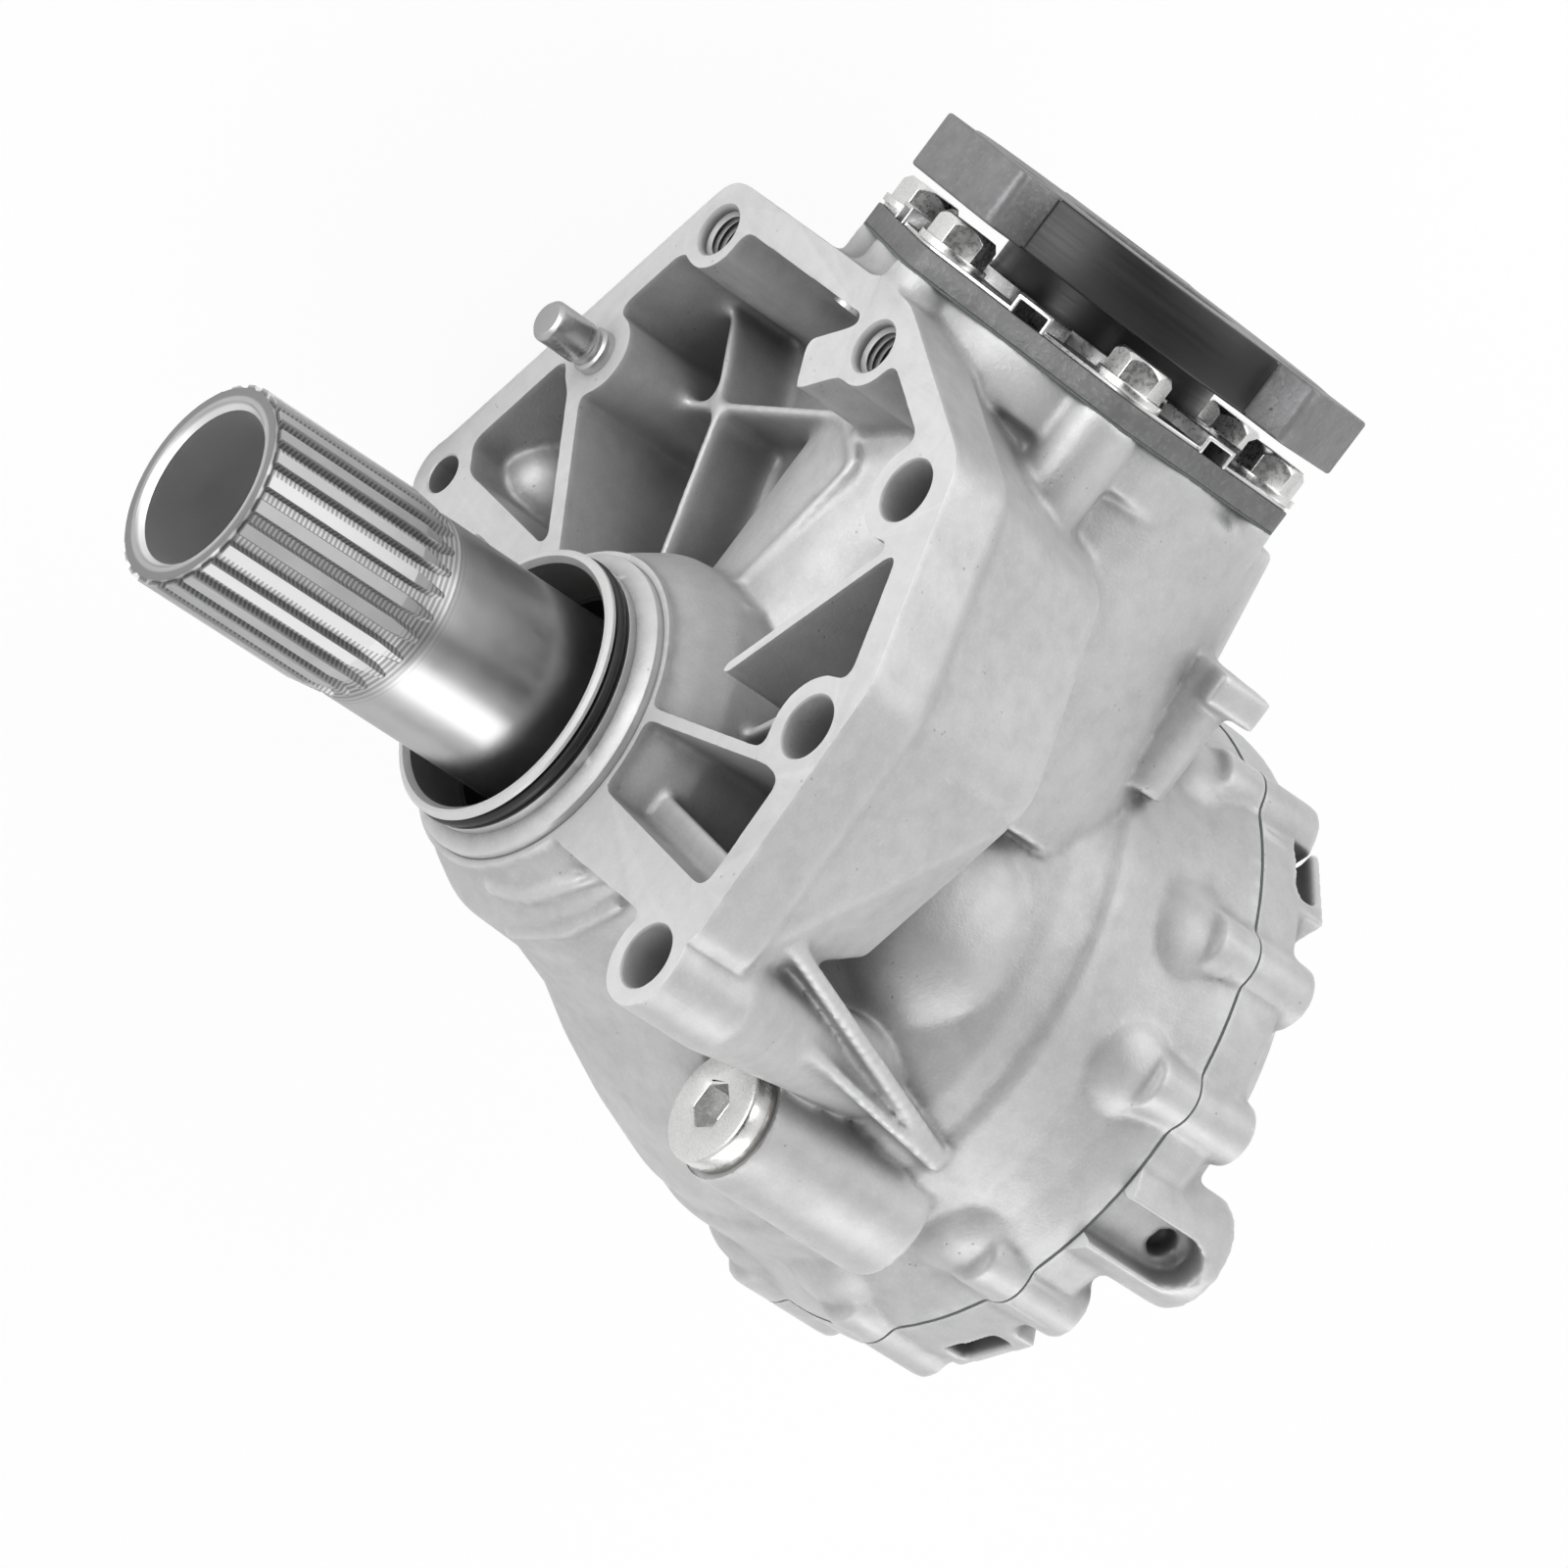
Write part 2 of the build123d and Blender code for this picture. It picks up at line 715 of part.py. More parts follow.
def drive_pinion():
    """The bevel pinion and its shaft, with bearing seats, spline and thread."""
    toe = (cone_distance - face_width) / cone_distance
    root = -dedendum * 0.98
    heel_root = cone_point(pitch_angle, 1.0, root)
    toe_root = cone_point(pitch_angle, toe, root * toe)
    head = turned_x(
        (toe_root[0] - 1, 0),
        (toe_root[0] - 1, toe_root[1] - 1.5),
        toe_root,
        heel_root,
        (head_bearing_x - 3, heel_root[1] + 0.5),
        (head_bearing_x, pinion_bearing_bore_radius + 6),
        (head_bearing_x, 0),
    )
    teeth = bevel_teeth(pinion_teeth, pitch_angle)
    gear = head + [Pos(0, pinion_axis_y, 0) * Rot(180 + 180 / pinion_teeth, 0, 0) * tooth for tooth in teeth]
    bore = pinion_bearing_bore_radius
    shaft = turned_x(
        (head_bearing_x - 4, 0),
        (head_bearing_x - 4, bore),
        (tail_bearing_x + pinion_bearing_width - 2, bore),
        (tail_bearing_x + pinion_bearing_width - 1, pinion_spline_radius),
        (flange_back_x - 2, pinion_spline_radius),
        (flange_back_x - 1, pinion_thread_radius),
        (pinion_end_x - 1, pinion_thread_radius),
        (pinion_end_x, pinion_thread_radius - 1),
        (pinion_end_x, 0),
    )
    return gear + shaft


def ring_gear():
    """The crown gear, bolted to the shaft flange."""
    ring_angle = 90 - pitch_angle
    toe = (cone_distance - face_width) / cone_distance
    root = -dedendum * 0.98
    heel_root = cone_point(ring_angle, 1.0, root)
    toe_root = cone_point(ring_angle, toe, root * toe)
    blank = turned_y(
        (ring_bore_radius, ring_back_y),
        (ring_body_radius, ring_back_y),
        (ring_body_radius, pinion_axis_y - heel_root[0] - 4),
        (heel_root[1], pinion_axis_y - heel_root[0]),
        (toe_root[1], pinion_axis_y - toe_root[0]),
        (ring_bore_radius, pinion_axis_y - toe_root[0] - 3),
    )
    teeth = bevel_teeth(ring_teeth, ring_angle)
    blank += [Pos(0, pinion_axis_y, 0) * Rot(0, 0, -90) * tooth for tooth in teeth]
    holes = []
    for index in range(ring_bolt_count):
        place = round_input(ring_bolt_circle, 360 / ring_bolt_count * (index + 0.5))
        holes.append(rod_y(ring_bolt_radius + screw_clearance, ring_back_y - 1, ring_back_y + ring_bolt_grip, *place))
    return blank - holes


# Bearings

def bearing_section(inner, outer, width, count):
    """Sizes of a tapered roller bearing: mean roller radius, roller radius and length."""
    roller_length = width * 0.62
    mean = inner + (outer - inner) * 0.53
    roller_radius = min((outer - inner) * 0.19, mean * sin(pi / count) * 0.88)
    return mean, roller_radius, roller_length


race_angle = 12.0
roller_taper = 2.0


def race_points(inner, outer, width, count, side, gap):
    """Two (along, radius) points of a race that touches the rollers, less a gap."""
    mean, roller_radius, length = bearing_section(inner, outer, width, count)
    points = []
    for end in (-1, 1):
        reach = end * length / 2 * 1.04
        size = roller_radius + reach * tan(radians(roller_taper)) + gap
        along = width / 2 + reach * cos(radians(race_angle)) - side * size * sin(radians(race_angle))
        radius = mean + reach * sin(radians(race_angle)) + side * size * cos(radians(race_angle))
        points.append((along, radius))
    return points


def bearing_cup(inner, outer, width, count):
    """The outer ring about +X, small end at the origin, as (along, radius) points."""
    small, large = race_points(inner, outer, width, count, 1, running_clearance)
    slope = (large[1] - small[1]) / (large[0] - small[0])
    high = 0.9 * width
    return [
        (0, outer),
        (high, outer),
        (high, large[1] + slope * (high - large[0])),
        (0, small[1] - slope * small[0]),
    ]


def bearing_cone(inner, outer, width, count):
    """The inner ring about +X with its two ribs, as (along, radius) points."""
    small, large = race_points(inner, outer, width, count, -1, 0.03)
    rib = bearing_section(inner, outer, width, count)[1] * 0.55
    return [
        (bearing_cone_offset, inner),
        (bearing_cone_offset, small[1] + rib * 0.6),
        (small[0] - 0.3, small[1] + rib * 0.6),
        (small[0] - 0.3, small[1] - 0.2),
        small,
        large,
        (large[0] + 0.3, large[1]),
        (large[0] + 0.3, large[1] + rib),
        (width, large[1] + rib),
        (width, inner),
    ]


bearing_cone_offset = 1.2


def bearing_rollers(inner, outer, width, count):
    """The tapered rollers about +X."""
    mean, roller_radius, length = bearing_section(inner, outer, width, count)
    change = length / 2 * tan(radians(roller_taper))
    roller = Rot(0, 90, 0) * Cone(roller_radius - change, roller_radius + change, length)
    placed = Pos(width / 2, mean, 0) * Rot(0, 0, race_angle) * roller
    return [Rot(360 / count * index, 0, 0) * placed for index in range(count)]


def bearing_parts(sizes, place):
    """The cup, cone and rollers of one bearing, moved to its place."""
    cup = revolve(make_face(Polyline(*bearing_cup(*sizes), close=True)), Axis.X, 360)
    cone = revolve(make_face(Polyline(*bearing_cone(*sizes), close=True)), Axis.X, 360)
    rollers = Compound(children=[place * roller for roller in bearing_rollers(*sizes)])
    return place * cup, place * cone, rollers


shaft_bearing = (bearing_seat_radius, shaft_bearing_outer_radius, shaft_bearing_width, shaft_roller_count)
pinion_bearing = (
    pinion_bearing_bore_radius,
    pinion_bearing_outer_radius,
    pinion_bearing_width,
    pinion_roller_count,
)
bearing_places = {
    "front_shaft_bearing": (shaft_bearing, Pos(0, front_bearing_y + shaft_bearing_width, 0) * Rot(0, 0, -90)),
    "rear_shaft_bearing": (shaft_bearing, Pos(0, rear_bearing_y - shaft_bearing_width, 0) * Rot(0, 0, 90)),
    "pinion_head_bearing": (
        pinion_bearing,
        Pos(head_bearing_x + pinion_bearing_width, pinion_axis_y, 0) * Rot(0, 0, 180),
    ),
    "pinion_tail_bearing": (pinion_bearing, Pos(tail_bearing_x, pinion_axis_y, 0)),
}


# Seals, shims and rings

def lip_seal_y(outer, shaft_radius, y_low, y_high):
    """A radial shaft seal round the input axis, open towards +Y."""
    lip = shaft_radius + seal_lip_clearance
    middle = (y_low + y_high) / 2
    return turned_y(
        (outer, y_low),
        (outer, y_high),
        (outer - 1.2, y_high),
        (outer - 1.8, y_low + 2),
        (lip + 2.6, y_low + 2),
        (lip + 2.0, middle + 1.5),
        (lip + 0.8, y_high - 1),
        (lip, middle + 0.6),
        (lip, middle),
        (lip + 1.0, y_low),
    )


def lip_seal_x(outer, shaft_radius, x_low, x_high):
    """A radial shaft seal round the pinion axis, open towards -X."""
    lip = shaft_radius + seal_lip_clearance
    middle = (x_low + x_high) / 2
    return turned_x(
        (x_high, outer),
        (x_low, outer),
        (x_low, outer - 1.2),
        (x_high - 2, outer - 1.8),
        (x_high - 2, lip + 2.6),
        (middle - 1.5, lip + 2.0),
        (x_low + 1, lip + 0.8),
        (middle - 0.6, lip),
        (middle, lip),
        (x_high, lip + 1.0),
    )


def spigot_o_ring():
    """The O-ring in the groove of the spigot."""
    middle_radius = spigot_front_radius - o_ring_groove_depth + o_ring_cord_radius + seat_clearance
    groove_middle = spigot_step_y + o_ring_groove_width
    return Pos(0, groove_middle, 0) * Rot(90, 0, 0) * Torus(middle_radius, o_ring_cord_radius)


def cover_gasket():
    """The flat gasket between case and cover."""
    low, high = parting_y - gasket_thickness, parting_y
    gasket = ring_about_y(drum_radius - drum_wall, rim_radius, low, high)
    for angle in cover_bolt_angles:
        place = round_input(cover_bolt_circle, angle)
        gasket += rod_y(cover_bolt_boss_radius, low, high, *place)
    for angle in cover_bolt_angles:
        place = round_input(cover_bolt_circle, angle)
        gasket -= rod_y(m8_radius + screw_clearance, low - 1, high + 1, *place)
    return gasket - rod_y(drum_radius - drum_wall, low - 1, high + 1)


# Retainer end

def plane_x(x):
    """The plane across the pinion axis at x, with Y and Z as its own axes."""
    return Plane((x, pinion_axis_y, 0), x_dir=(0, 1, 0), z_dir=(1, 0, 0))


def lobed_outline(lobe_radius):
    """The retainer outline: straight sides between round lobes at the bolts."""
    rims = []
    for angle in retainer_bolt_angles:
        centre = Vector(1, 0).rotate(Axis.Z, angle) * retainer_bolt_circle
        rims.append((Pos(centre.X, centre.Y) * Circle(lobe_radius)).edges()[0])
    return make_hull(rims)


def retainer_holes(x_low, x_high, radius):
    """Clearance holes for the retainer bolts."""
    return [rod_x(radius, x_low, x_high, *round_pinion(retainer_bolt_circle, angle))
            for angle in retainer_bolt_angles]


retainer_low_x = barrel_end_x + retainer_gasket_thickness
retainer_high_x = retainer_low_x + retainer_thickness
guard_top_x = retainer_high_x + guard_thickness


def retainer_gasket():
    """The gasket under the retainer."""
    sheet = extrude(plane_x(barrel_end_x) * lobed_outline(retainer_lobe_radius), retainer_gasket_thickness)
    sheet -= rod_x(pinion_bearing_outer_radius, barrel_end_x - 1, retainer_low_x + 1)
    return sheet - retainer_holes(barrel_end_x - 1, retainer_low_x + 1, m8_radius + screw_clearance)


def bearing_retainer():
    """The plate that holds the tail bearing and carries the pinion seal."""
    plate = extrude(plane_x(retainer_low_x) * lobed_outline(retainer_lobe_radius), retainer_thickness)
    pilot_low = barrel_end_x - retainer_pilot_depth
    plate += rod_x(pinion_bearing_outer_radius - seat_clearance, pilot_low, retainer_low_x + 1)
    plate -= rod_x(pinion_seal_radius, retainer_high_x - pinion_seal_width, retainer_high_x + 1)
    plate -= rod_x(pinion_seal_radius - 3.5, pilot_low - 1, retainer_high_x)
    return plate - retainer_holes(barrel_end_x - 1, retainer_high_x + 1, m8_radius + screw_clearance)


def retainer_guard():
    """The pressed sheet over the retainer, with a raised channel between each pair of bolts."""
    sheet = extrude(plane_x(retainer_high_x) * lobed_outline(retainer_lobe_radius - 1), guard_thickness)
    rim_top = guard_top_x + guard_joggle
    sheet += rod_x(guard_bore_radius + guard_thickness, retainer_high_x, rim_top)
    edge = retainer_bolt_circle * cos(pi / retainer_bolt_count) + retainer_lobe_radius
    start = guard_bore_radius + 3
    middle = (edge + start) / 2
    height = guard_joggle + guard_thickness
    for angle in retainer_bolt_angles:
        turned = Pos(0, pinion_axis_y, 0) * Rot(angle + 180 / retainer_bolt_count, 0, 0)
        channel = Pos(retainer_high_x + height / 2, middle, 0)
        hollow = Pos(retainer_high_x + guard_joggle / 2, middle + guard_thickness, 0)
        sheet += turned * channel * Box(height, edge - start, guard_channel_width)
        sheet -= turned * hollow * Box(guard_joggle, edge - start, guard_channel_width - 2 * guard_thickness)
    sheet -= rod_x(guard_bore_radius, retainer_high_x - 1, rim_top + 1)
    return sheet - retainer_holes(retainer_high_x - 1, guard_top_x + 1, m8_radius + screw_clearance)


def output_flange():
    """The three-lobed flange with its hub, nut recess and bolt holes."""
    hub_low_x = tail_bearing_x + pinion_bearing_width
    flange_face_x = flange_back_x + flange_plate_thickness
    recess_x = flange_face_x - nut_recess_depth
    body = turned_x(
        (hub_low_x, 0),
        (hub_low_x, hub_radius - 1),
        (hub_low_x + 1, hub_radius),
        (hub_shoulder_x, hub_radius),
        (hub_shoulder_x, deflector_radius - deflector_wall),
        (flange_back_x + 1, deflector_radius - deflector_wall),
        (flange_back_x + 1, 0),
    )
    outline = Circle(flange_round_radius) + [
        Rot(0, 0, flange_first_lobe_angle + 360 / flange_lobe_count * index)
        * Pos(flange_lobe_reach / 2, 0) * Rectangle(flange_lobe_reach, 2 * flange_lobe_half_width)
        for index in range(flange_lobe_count)
    ]
    outer = [vertex for vertex in outline.vertices() if hypot(vertex.X, vertex.Y) > flange_round_radius + 1]
    notches = [vertex for vertex in outline.vertices() if vertex not in outer]
    outline = fillet(outer, 2.5)
    body += extrude(plane_x(flange_back_x) * outline, flange_plate_thickness)
    body -= rod_x(nut_recess_radius, recess_x, flange_face_x + 1)
    body -= rod_x(pinion_spline_radius + seat_clearance, hub_low_x - 1, flange_face_x)
    for index in range(flange_lobe_count):
        angle = flange_first_lobe_angle + 360 / flange_lobe_count * index
        place = round_pinion(flange_bolt_circle, angle)
        body -= rod_x(flange_bolt_hole_radius, flange_back_x - 1, flange_face_x + 1, *place)
    return body


def dust_deflector():
    """The pressed cup on the hub of the output flange."""
    return turned_x(
        (hub_shoulder_x - deflector_wall, hub_radius + seat_clearance),
        (hub_shoulder_x - deflector_wall, deflector_radius),
        (flange_back_x, deflector_radius),
        (flange_back_x, deflector_radius - deflector_wall),
        (hub_shoulder_x, deflector_radius - deflector_wall),
        (hub_shoulder_x, hub_radius + seat_clearance),
    )


def pinion_spacer():
    """The collapsible spacer between the pinion bearing cones."""
    low = head_bearing_x + pinion_bearing_width - bearing_cone_offset
    high = tail_bearing_x + bearing_cone_offset
    bore = pinion_bearing_bore_radius + seat_clearance
    middle = (low + high) / 2
    return turned_x(
        (low, bore),
        (low, bore + 2.2),
        (middle - 3, bore + 2.2),
        (middle, bore + 4.0),
        (middle + 3, bore + 2.2),
        (high, bore + 2.2),
        (high, bore),
        (middle + 3, bore),
        (middle, bore + 1.8),
        (middle - 3, bore),
    )


def pinion_washer():
    """The washer under the pinion nut."""
    low = flange_back_x + flange_plate_thickness - nut_recess_depth
    return ring_about_x(pinion_thread_radius + seat_clearance, nut_across_flats / 2 + 2.5, low, low + washer_thickness)


def pinion_nut():
    """The hexagonal nut that clamps the output flange."""
    low = flange_back_x + flange_plate_thickness - nut_recess_depth + washer_thickness
    return hex_along_x(nut_across_flats, low, low + nut_height) - rod_x(
        pinion_thread_radius + seat_clearance, low - 1, low + nut_height + 1)


# Fasteners and plugs

def flange_bolt(radius, across_flats, flange_radius, head_height, flange_height, length):
    """A flange-head bolt along +Z with the underside of its head at the origin."""
    bolt = Pos(0, 0, -length / 2) * Cylinder(radius, length)
    bolt += Pos(0, 0, flange_height / 2) * Cylinder(flange_radius, flange_height)
    head = extrude(RegularPolygon(across_flats / 2, 6, major_radius=False), head_height)
    corner = across_flats / 2 / cos(pi / 6)
    dome = Pos(0, 0, head_height - 1.6) * Cone(corner + 1.2, corner - 1.2, 3.2)
    dome += Pos(0, 0, (head_height - 3.2) / 2) * Cylinder(corner + 1, head_height - 3.2)
    return bolt + (head & dome)


def m8_bolt():
    """An M8 bolt of the retainer or the cover."""
    return flange_bolt(m8_radius, m8_across_flats, m8_flange_radius, m8_head_height, m8_flange_height, m8_length)


def retainer_bolts():
    """The bolts of the retainer."""
    bolt = m8_bolt()
    places = [round_pinion(retainer_bolt_circle, angle) for angle in retainer_bolt_angles]
    return Compound(children=[Pos(guard_top_x, *place) * Rot(0, 90, 0) * bolt for place in places])


def cover_bolts():
    """The bolts of the cover."""
    length = cover_boss_depth + cover_bolt_depth - 2
    bolt = flange_bolt(m8_radius, m8_across_flats, m8_flange_radius, m8_head_height, m8_flange_height, length)
    head_y = parting_y - gasket_thickness - cover_boss_depth
    bolts = []
    for angle in cover_bolt_angles:
        x, z = round_input(cover_bolt_circle, angle)
        bolts.append(Pos(x, head_y, z) * Rot(90, 0, 0) * bolt)
    return Compound(children=bolts)


def ring_gear_bolts():
    """The bolts of the crown gear."""
    length = gear_flange_thickness + ring_bolt_grip - 1.5
    bolt = flange_bolt(ring_bolt_radius, 14.0, 8.4, 8.0, 1.8, length)
    bolts = []
    for index in range(ring_bolt_count):
        x, z = round_input(ring_bolt_circle, 360 / ring_bolt_count * (index + 0.5))
        bolts.append(Pos(x, ring_back_y - gear_flange_thickness, z) * Rot(90, 0, 0) * bolt)
    return Compound(children=bolts)


def screw_plug():
    """A hex-socket screw plug along +Z, the underside of its head at the origin."""
    plug = Pos(0, 0, -plug_thread_length / 2) * Cylinder(plug_thread_radius, plug_thread_length)
    plug += Pos(0, 0, plug_head_height / 2) * Cylinder(plug_head_radius, plug_head_height)
    rim = plug.edges().filter_by(GeomType.CIRCLE).sort_by(Axis.Z)[-1]
    plug = chamfer(rim, 0.6)
    socket = extrude(RegularPolygon(plug_socket_flats / 2, 6, major_radius=False), plug_socket_depth)
    return plug - Pos(0, 0, plug_head_height - plug_socket_depth) * socket


def plug_gasket():
    """The sealing ring of a plug, along +Z from the origin."""
    ring = Cylinder(plug_head_radius - 0.4, plug_gasket_height)
    ring -= Cylinder(plug_thread_radius + seat_clearance, plug_gasket_height + 1)
    return Pos(0, 0, plug_gasket_height / 2) * ring


def dowel_pin():
    """The dowel pin of the mounting face, with a neck near its foot."""
    low = dowel_reach - dowel_length
    x, z = dowel_place
    pin = turned_y(
        (0, low),
        (dowel_foot_radius - 0.6, low),
        (dowel_foot_radius, low + 0.6),
        (dowel_foot_radius, 2.4),
        (dowel_radius - 0.5, 2.9),
        (dowel_radius - 0.5, 4.5),
        (dowel_radius, 5.0),
        (dowel_radius, dowel_reach - 1),
        (dowel_radius - 1, dowel_reach),
        (0, dowel_reach),
    )
    return Pos(x, 0, z) * pin


def drain_boss():
    """The boss of the drain plug, under the drum."""
    middle = drain_face_z + 10
    return Pos(0, drain_place_y, middle) * Cylinder(plug_boss_radius, 20)


def drain_hole():
    """The threaded hole of the drain plug and the spot face round it."""
    hole = Pos(0, drain_place_y, drain_face_z + 9) * Cylinder(plug_thread_radius + screw_clearance, 20)
    return hole + Pos(0, drain_place_y, drain_face_z - 10) * Cylinder(plug_head_radius + 1.2, 20)


filler_place = Pos(plug_place[0], plug_face_y, plug_place[1]) * Rot(-90, 0, 0)
drain_place = Pos(0, drain_place_y, drain_face_z) * Rot(180, 0, 0)


def all_nodes():
    """Every piece of the unit under its own name."""
    front_cup_y = front_bearing_y + shaft_bearing_width
    rear_cup_y = rear_bearing_y - shaft_bearing_width
    shim_bore = shaft_bearing_outer_radius - 5
    shim_rim = shaft_bearing_outer_radius - seat_clearance
    lift = Pos(0, 0, plug_gasket_height)
    nodes = {
        "transfer_case": transfer_case(),
        "transfer_cover": transfer_cover(),
        "cover_gasket": cover_gasket(),
        "cover_bolts": cover_bolts(),
        "spigot_o_ring": spigot_o_ring(),
        "input_seal": lip_seal_y(spigot_bore_radius, tube_radius, -seal_depth_y, -seal_depth_y + seal_width),
        "far_end_seal": lip_seal_y(end_seal_radius, bearing_seat_radius, cover_end_y, cover_end_y + seal_width),
        "front_bearing_shim": ring_about_y(shim_bore, shim_rim, front_cup_y, front_cup_y + shim_thickness),
        "rear_bearing_shim": ring_about_y(shim_bore, shim_rim, rear_cup_y - shim_thickness, rear_cup_y),
        "input_shaft": input_shaft(),
        "ring_gear": ring_gear(),
        "ring_gear_bolts": ring_gear_bolts(),
        "drive_pinion": drive_pinion(),
        "pinion_spacer": pinion_spacer(),
        "pinion_seal": lip_seal_x(pinion_seal_radius, hub_radius, retainer_high_x - pinion_seal_width, retainer_high_x),
        "retainer_gasket": retainer_gasket(),
        "bearing_retainer": bearing_retainer(),
        "retainer_guard": retainer_guard(),
        "retainer_bolts": retainer_bolts(),
        "output_flange": output_flange(),
        "dust_deflector": dust_deflector(),
        "pinion_washer": pinion_washer(),
        "pinion_nut": pinion_nut(),
        "filler_plug": filler_place * lift * screw_plug(),
        "filler_plug_gasket": filler_place * plug_gasket(),
        "drain_plug": drain_place * lift * screw_plug(),
        "drain_plug_gasket": drain_place * plug_gasket(),
        "dowel_pin": dowel_pin(),
    }
    for name, (sizes, place) in bearing_places.items():
        cup, cone, rollers = bearing_parts(sizes, place)
        nodes[name + "_cup"] = cup
        nodes[name + "_cone"] = cone
        nodes[name + "_rollers"] = rollers
    return nodes


if __name__ == "__main__":
    os.makedirs("parts", exist_ok=True)
    for node_name, node_shape in all_nodes().items():
        export_step(node_shape, f"parts/{node_name}.step")
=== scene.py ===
import json
from math import cos, pi, radians, sin, tan

import bmesh
import bpy
from mathutils import Matrix, Vector

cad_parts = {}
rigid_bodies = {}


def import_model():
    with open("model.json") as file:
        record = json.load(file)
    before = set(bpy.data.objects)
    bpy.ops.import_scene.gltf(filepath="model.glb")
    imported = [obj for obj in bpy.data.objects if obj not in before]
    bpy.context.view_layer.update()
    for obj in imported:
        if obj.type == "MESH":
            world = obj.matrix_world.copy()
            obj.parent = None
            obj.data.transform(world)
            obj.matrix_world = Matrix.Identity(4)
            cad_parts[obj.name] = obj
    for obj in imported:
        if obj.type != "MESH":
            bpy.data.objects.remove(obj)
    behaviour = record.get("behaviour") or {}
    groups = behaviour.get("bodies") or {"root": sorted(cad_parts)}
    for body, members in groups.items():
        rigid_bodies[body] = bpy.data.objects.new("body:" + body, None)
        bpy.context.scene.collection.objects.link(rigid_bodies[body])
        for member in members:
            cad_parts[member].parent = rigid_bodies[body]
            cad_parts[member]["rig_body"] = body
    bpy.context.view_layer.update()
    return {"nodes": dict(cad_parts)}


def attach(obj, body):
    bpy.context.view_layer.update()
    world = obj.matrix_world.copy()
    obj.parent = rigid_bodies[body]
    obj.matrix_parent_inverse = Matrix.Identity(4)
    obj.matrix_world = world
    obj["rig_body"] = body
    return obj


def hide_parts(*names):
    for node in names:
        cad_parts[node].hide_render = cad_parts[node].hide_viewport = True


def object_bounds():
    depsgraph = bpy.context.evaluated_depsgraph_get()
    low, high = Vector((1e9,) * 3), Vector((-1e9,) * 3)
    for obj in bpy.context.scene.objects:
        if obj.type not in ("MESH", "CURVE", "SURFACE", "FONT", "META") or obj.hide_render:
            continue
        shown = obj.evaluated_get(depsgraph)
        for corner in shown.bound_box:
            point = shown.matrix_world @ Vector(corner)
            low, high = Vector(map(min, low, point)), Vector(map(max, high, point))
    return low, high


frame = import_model()
MM = 0.001

# The places that the dressed pieces share with the solids, in metres
PINION_Y = -0.057
DRUM_JOINT_Y = -0.142
COVER_TOP_Y = -0.1426
BARREL_END_X = 0.123
BOLT_HOLES = ((0.0873, 0.0619), (0.0371, 0.0854), (-0.0207, 0.0888))
SMALL_HOLE = (0.0209, -0.0911)
TAPPED_HOLES = ((0.1026, -0.0593), (0.1055, 0.0189))
DOWEL = (0.0643, -0.0687)
RETAINER_BOLT_CIRCLE = 0.049
RETAINER_BOLT_ANGLES = [10 + 60 * n for n in range(6)]
BOLT_HOLE_DEPTHS = (0.0175, 0.022, 0.024)
COVER_BOLT_CIRCLE = 0.0765
COVER_BOLT_ANGLES = (22, 55, 80, 121, 151, 180, 214, 248, 292, 326)
COVER_BOSS_END_Y = -0.1601
COUNTERBORE_FLOOR_Y = -0.1531
PLUG = (-0.0448, 0.0568)
PLUG_FACE_Y = -0.065
DRAIN_Y = -0.122
DRAIN_FACE_Z = -0.079
LUG_ANGLE = 101
WINDOW_ANGLES = (33, 138)

AXIS_X = Vector((1, 0, 0))
AXIS_Y = Vector((0, 1, 0))


# Materials

def node_group(name, inputs, outputs):
    """An empty shader group with named sockets; returns it with its two ends."""
    group = bpy.data.node_groups.new(name, "ShaderNodeTree")
    for label, kind, value in inputs:
        socket = group.interface.new_socket(label, in_out="INPUT", socket_type=kind)
        if value is not None:
            socket.default_value = value
    for label, kind in outputs:
        group.interface.new_socket(label, in_out="OUTPUT", socket_type=kind)
    return group, group.nodes.new("NodeGroupInput"), group.nodes.new("NodeGroupOutput")


def add(tree, kind, **values):
    """A node with its settings and its input values."""
    node = tree.nodes.new(kind)
    for key, value in values.items():
        if hasattr(node, key) and key not in node.inputs:
            setattr(node, key, value)
        else:
            node.inputs[key].default_value = value
    return node


def math_node(tree, operation, first, second=None, clamp=False):
    """A math node fed by sockets or numbers; returns its output."""
    node = tree.nodes.new("ShaderNodeMath")
    node.operation = operation
    node.use_clamp = clamp
    for index, value in enumerate((first, second)):
        if value is None:
            continue
        if isinstance(value, (int, float)):
            node.inputs[index].default_value = value
        else:
            tree.links.new(value, node.inputs[index])
    return node.outputs[0]


def remap(tree, value, low, high, out_low=0.0, out_high=1.0):
    """A value taken from one range to another, held at the ends."""
    node = tree.nodes.new("ShaderNodeMapRange")
    node.interpolation_type = "SMOOTHSTEP"
    tree.links.new(value, node.inputs["Value"])
    for label, number in (("From Min", low), ("From Max", high), ("To Min", out_low), ("To Max", out_high)):
        node.inputs[label].default_value = number
    return node.outputs["Result"]


def noise(tree, vector, scale, detail=3.0, roughness=0.55):
    """A noise value over the surface."""
    node = add(tree, "ShaderNodeTexNoise", Detail=detail, Roughness=roughness)
    tree.links.new(vector, node.inputs["Vector"])
    if isinstance(scale, (int, float)):
        node.inputs["Scale"].default_value = scale
    else:
        tree.links.new(scale, node.inputs["Scale"])
    return node.outputs["Fac"]


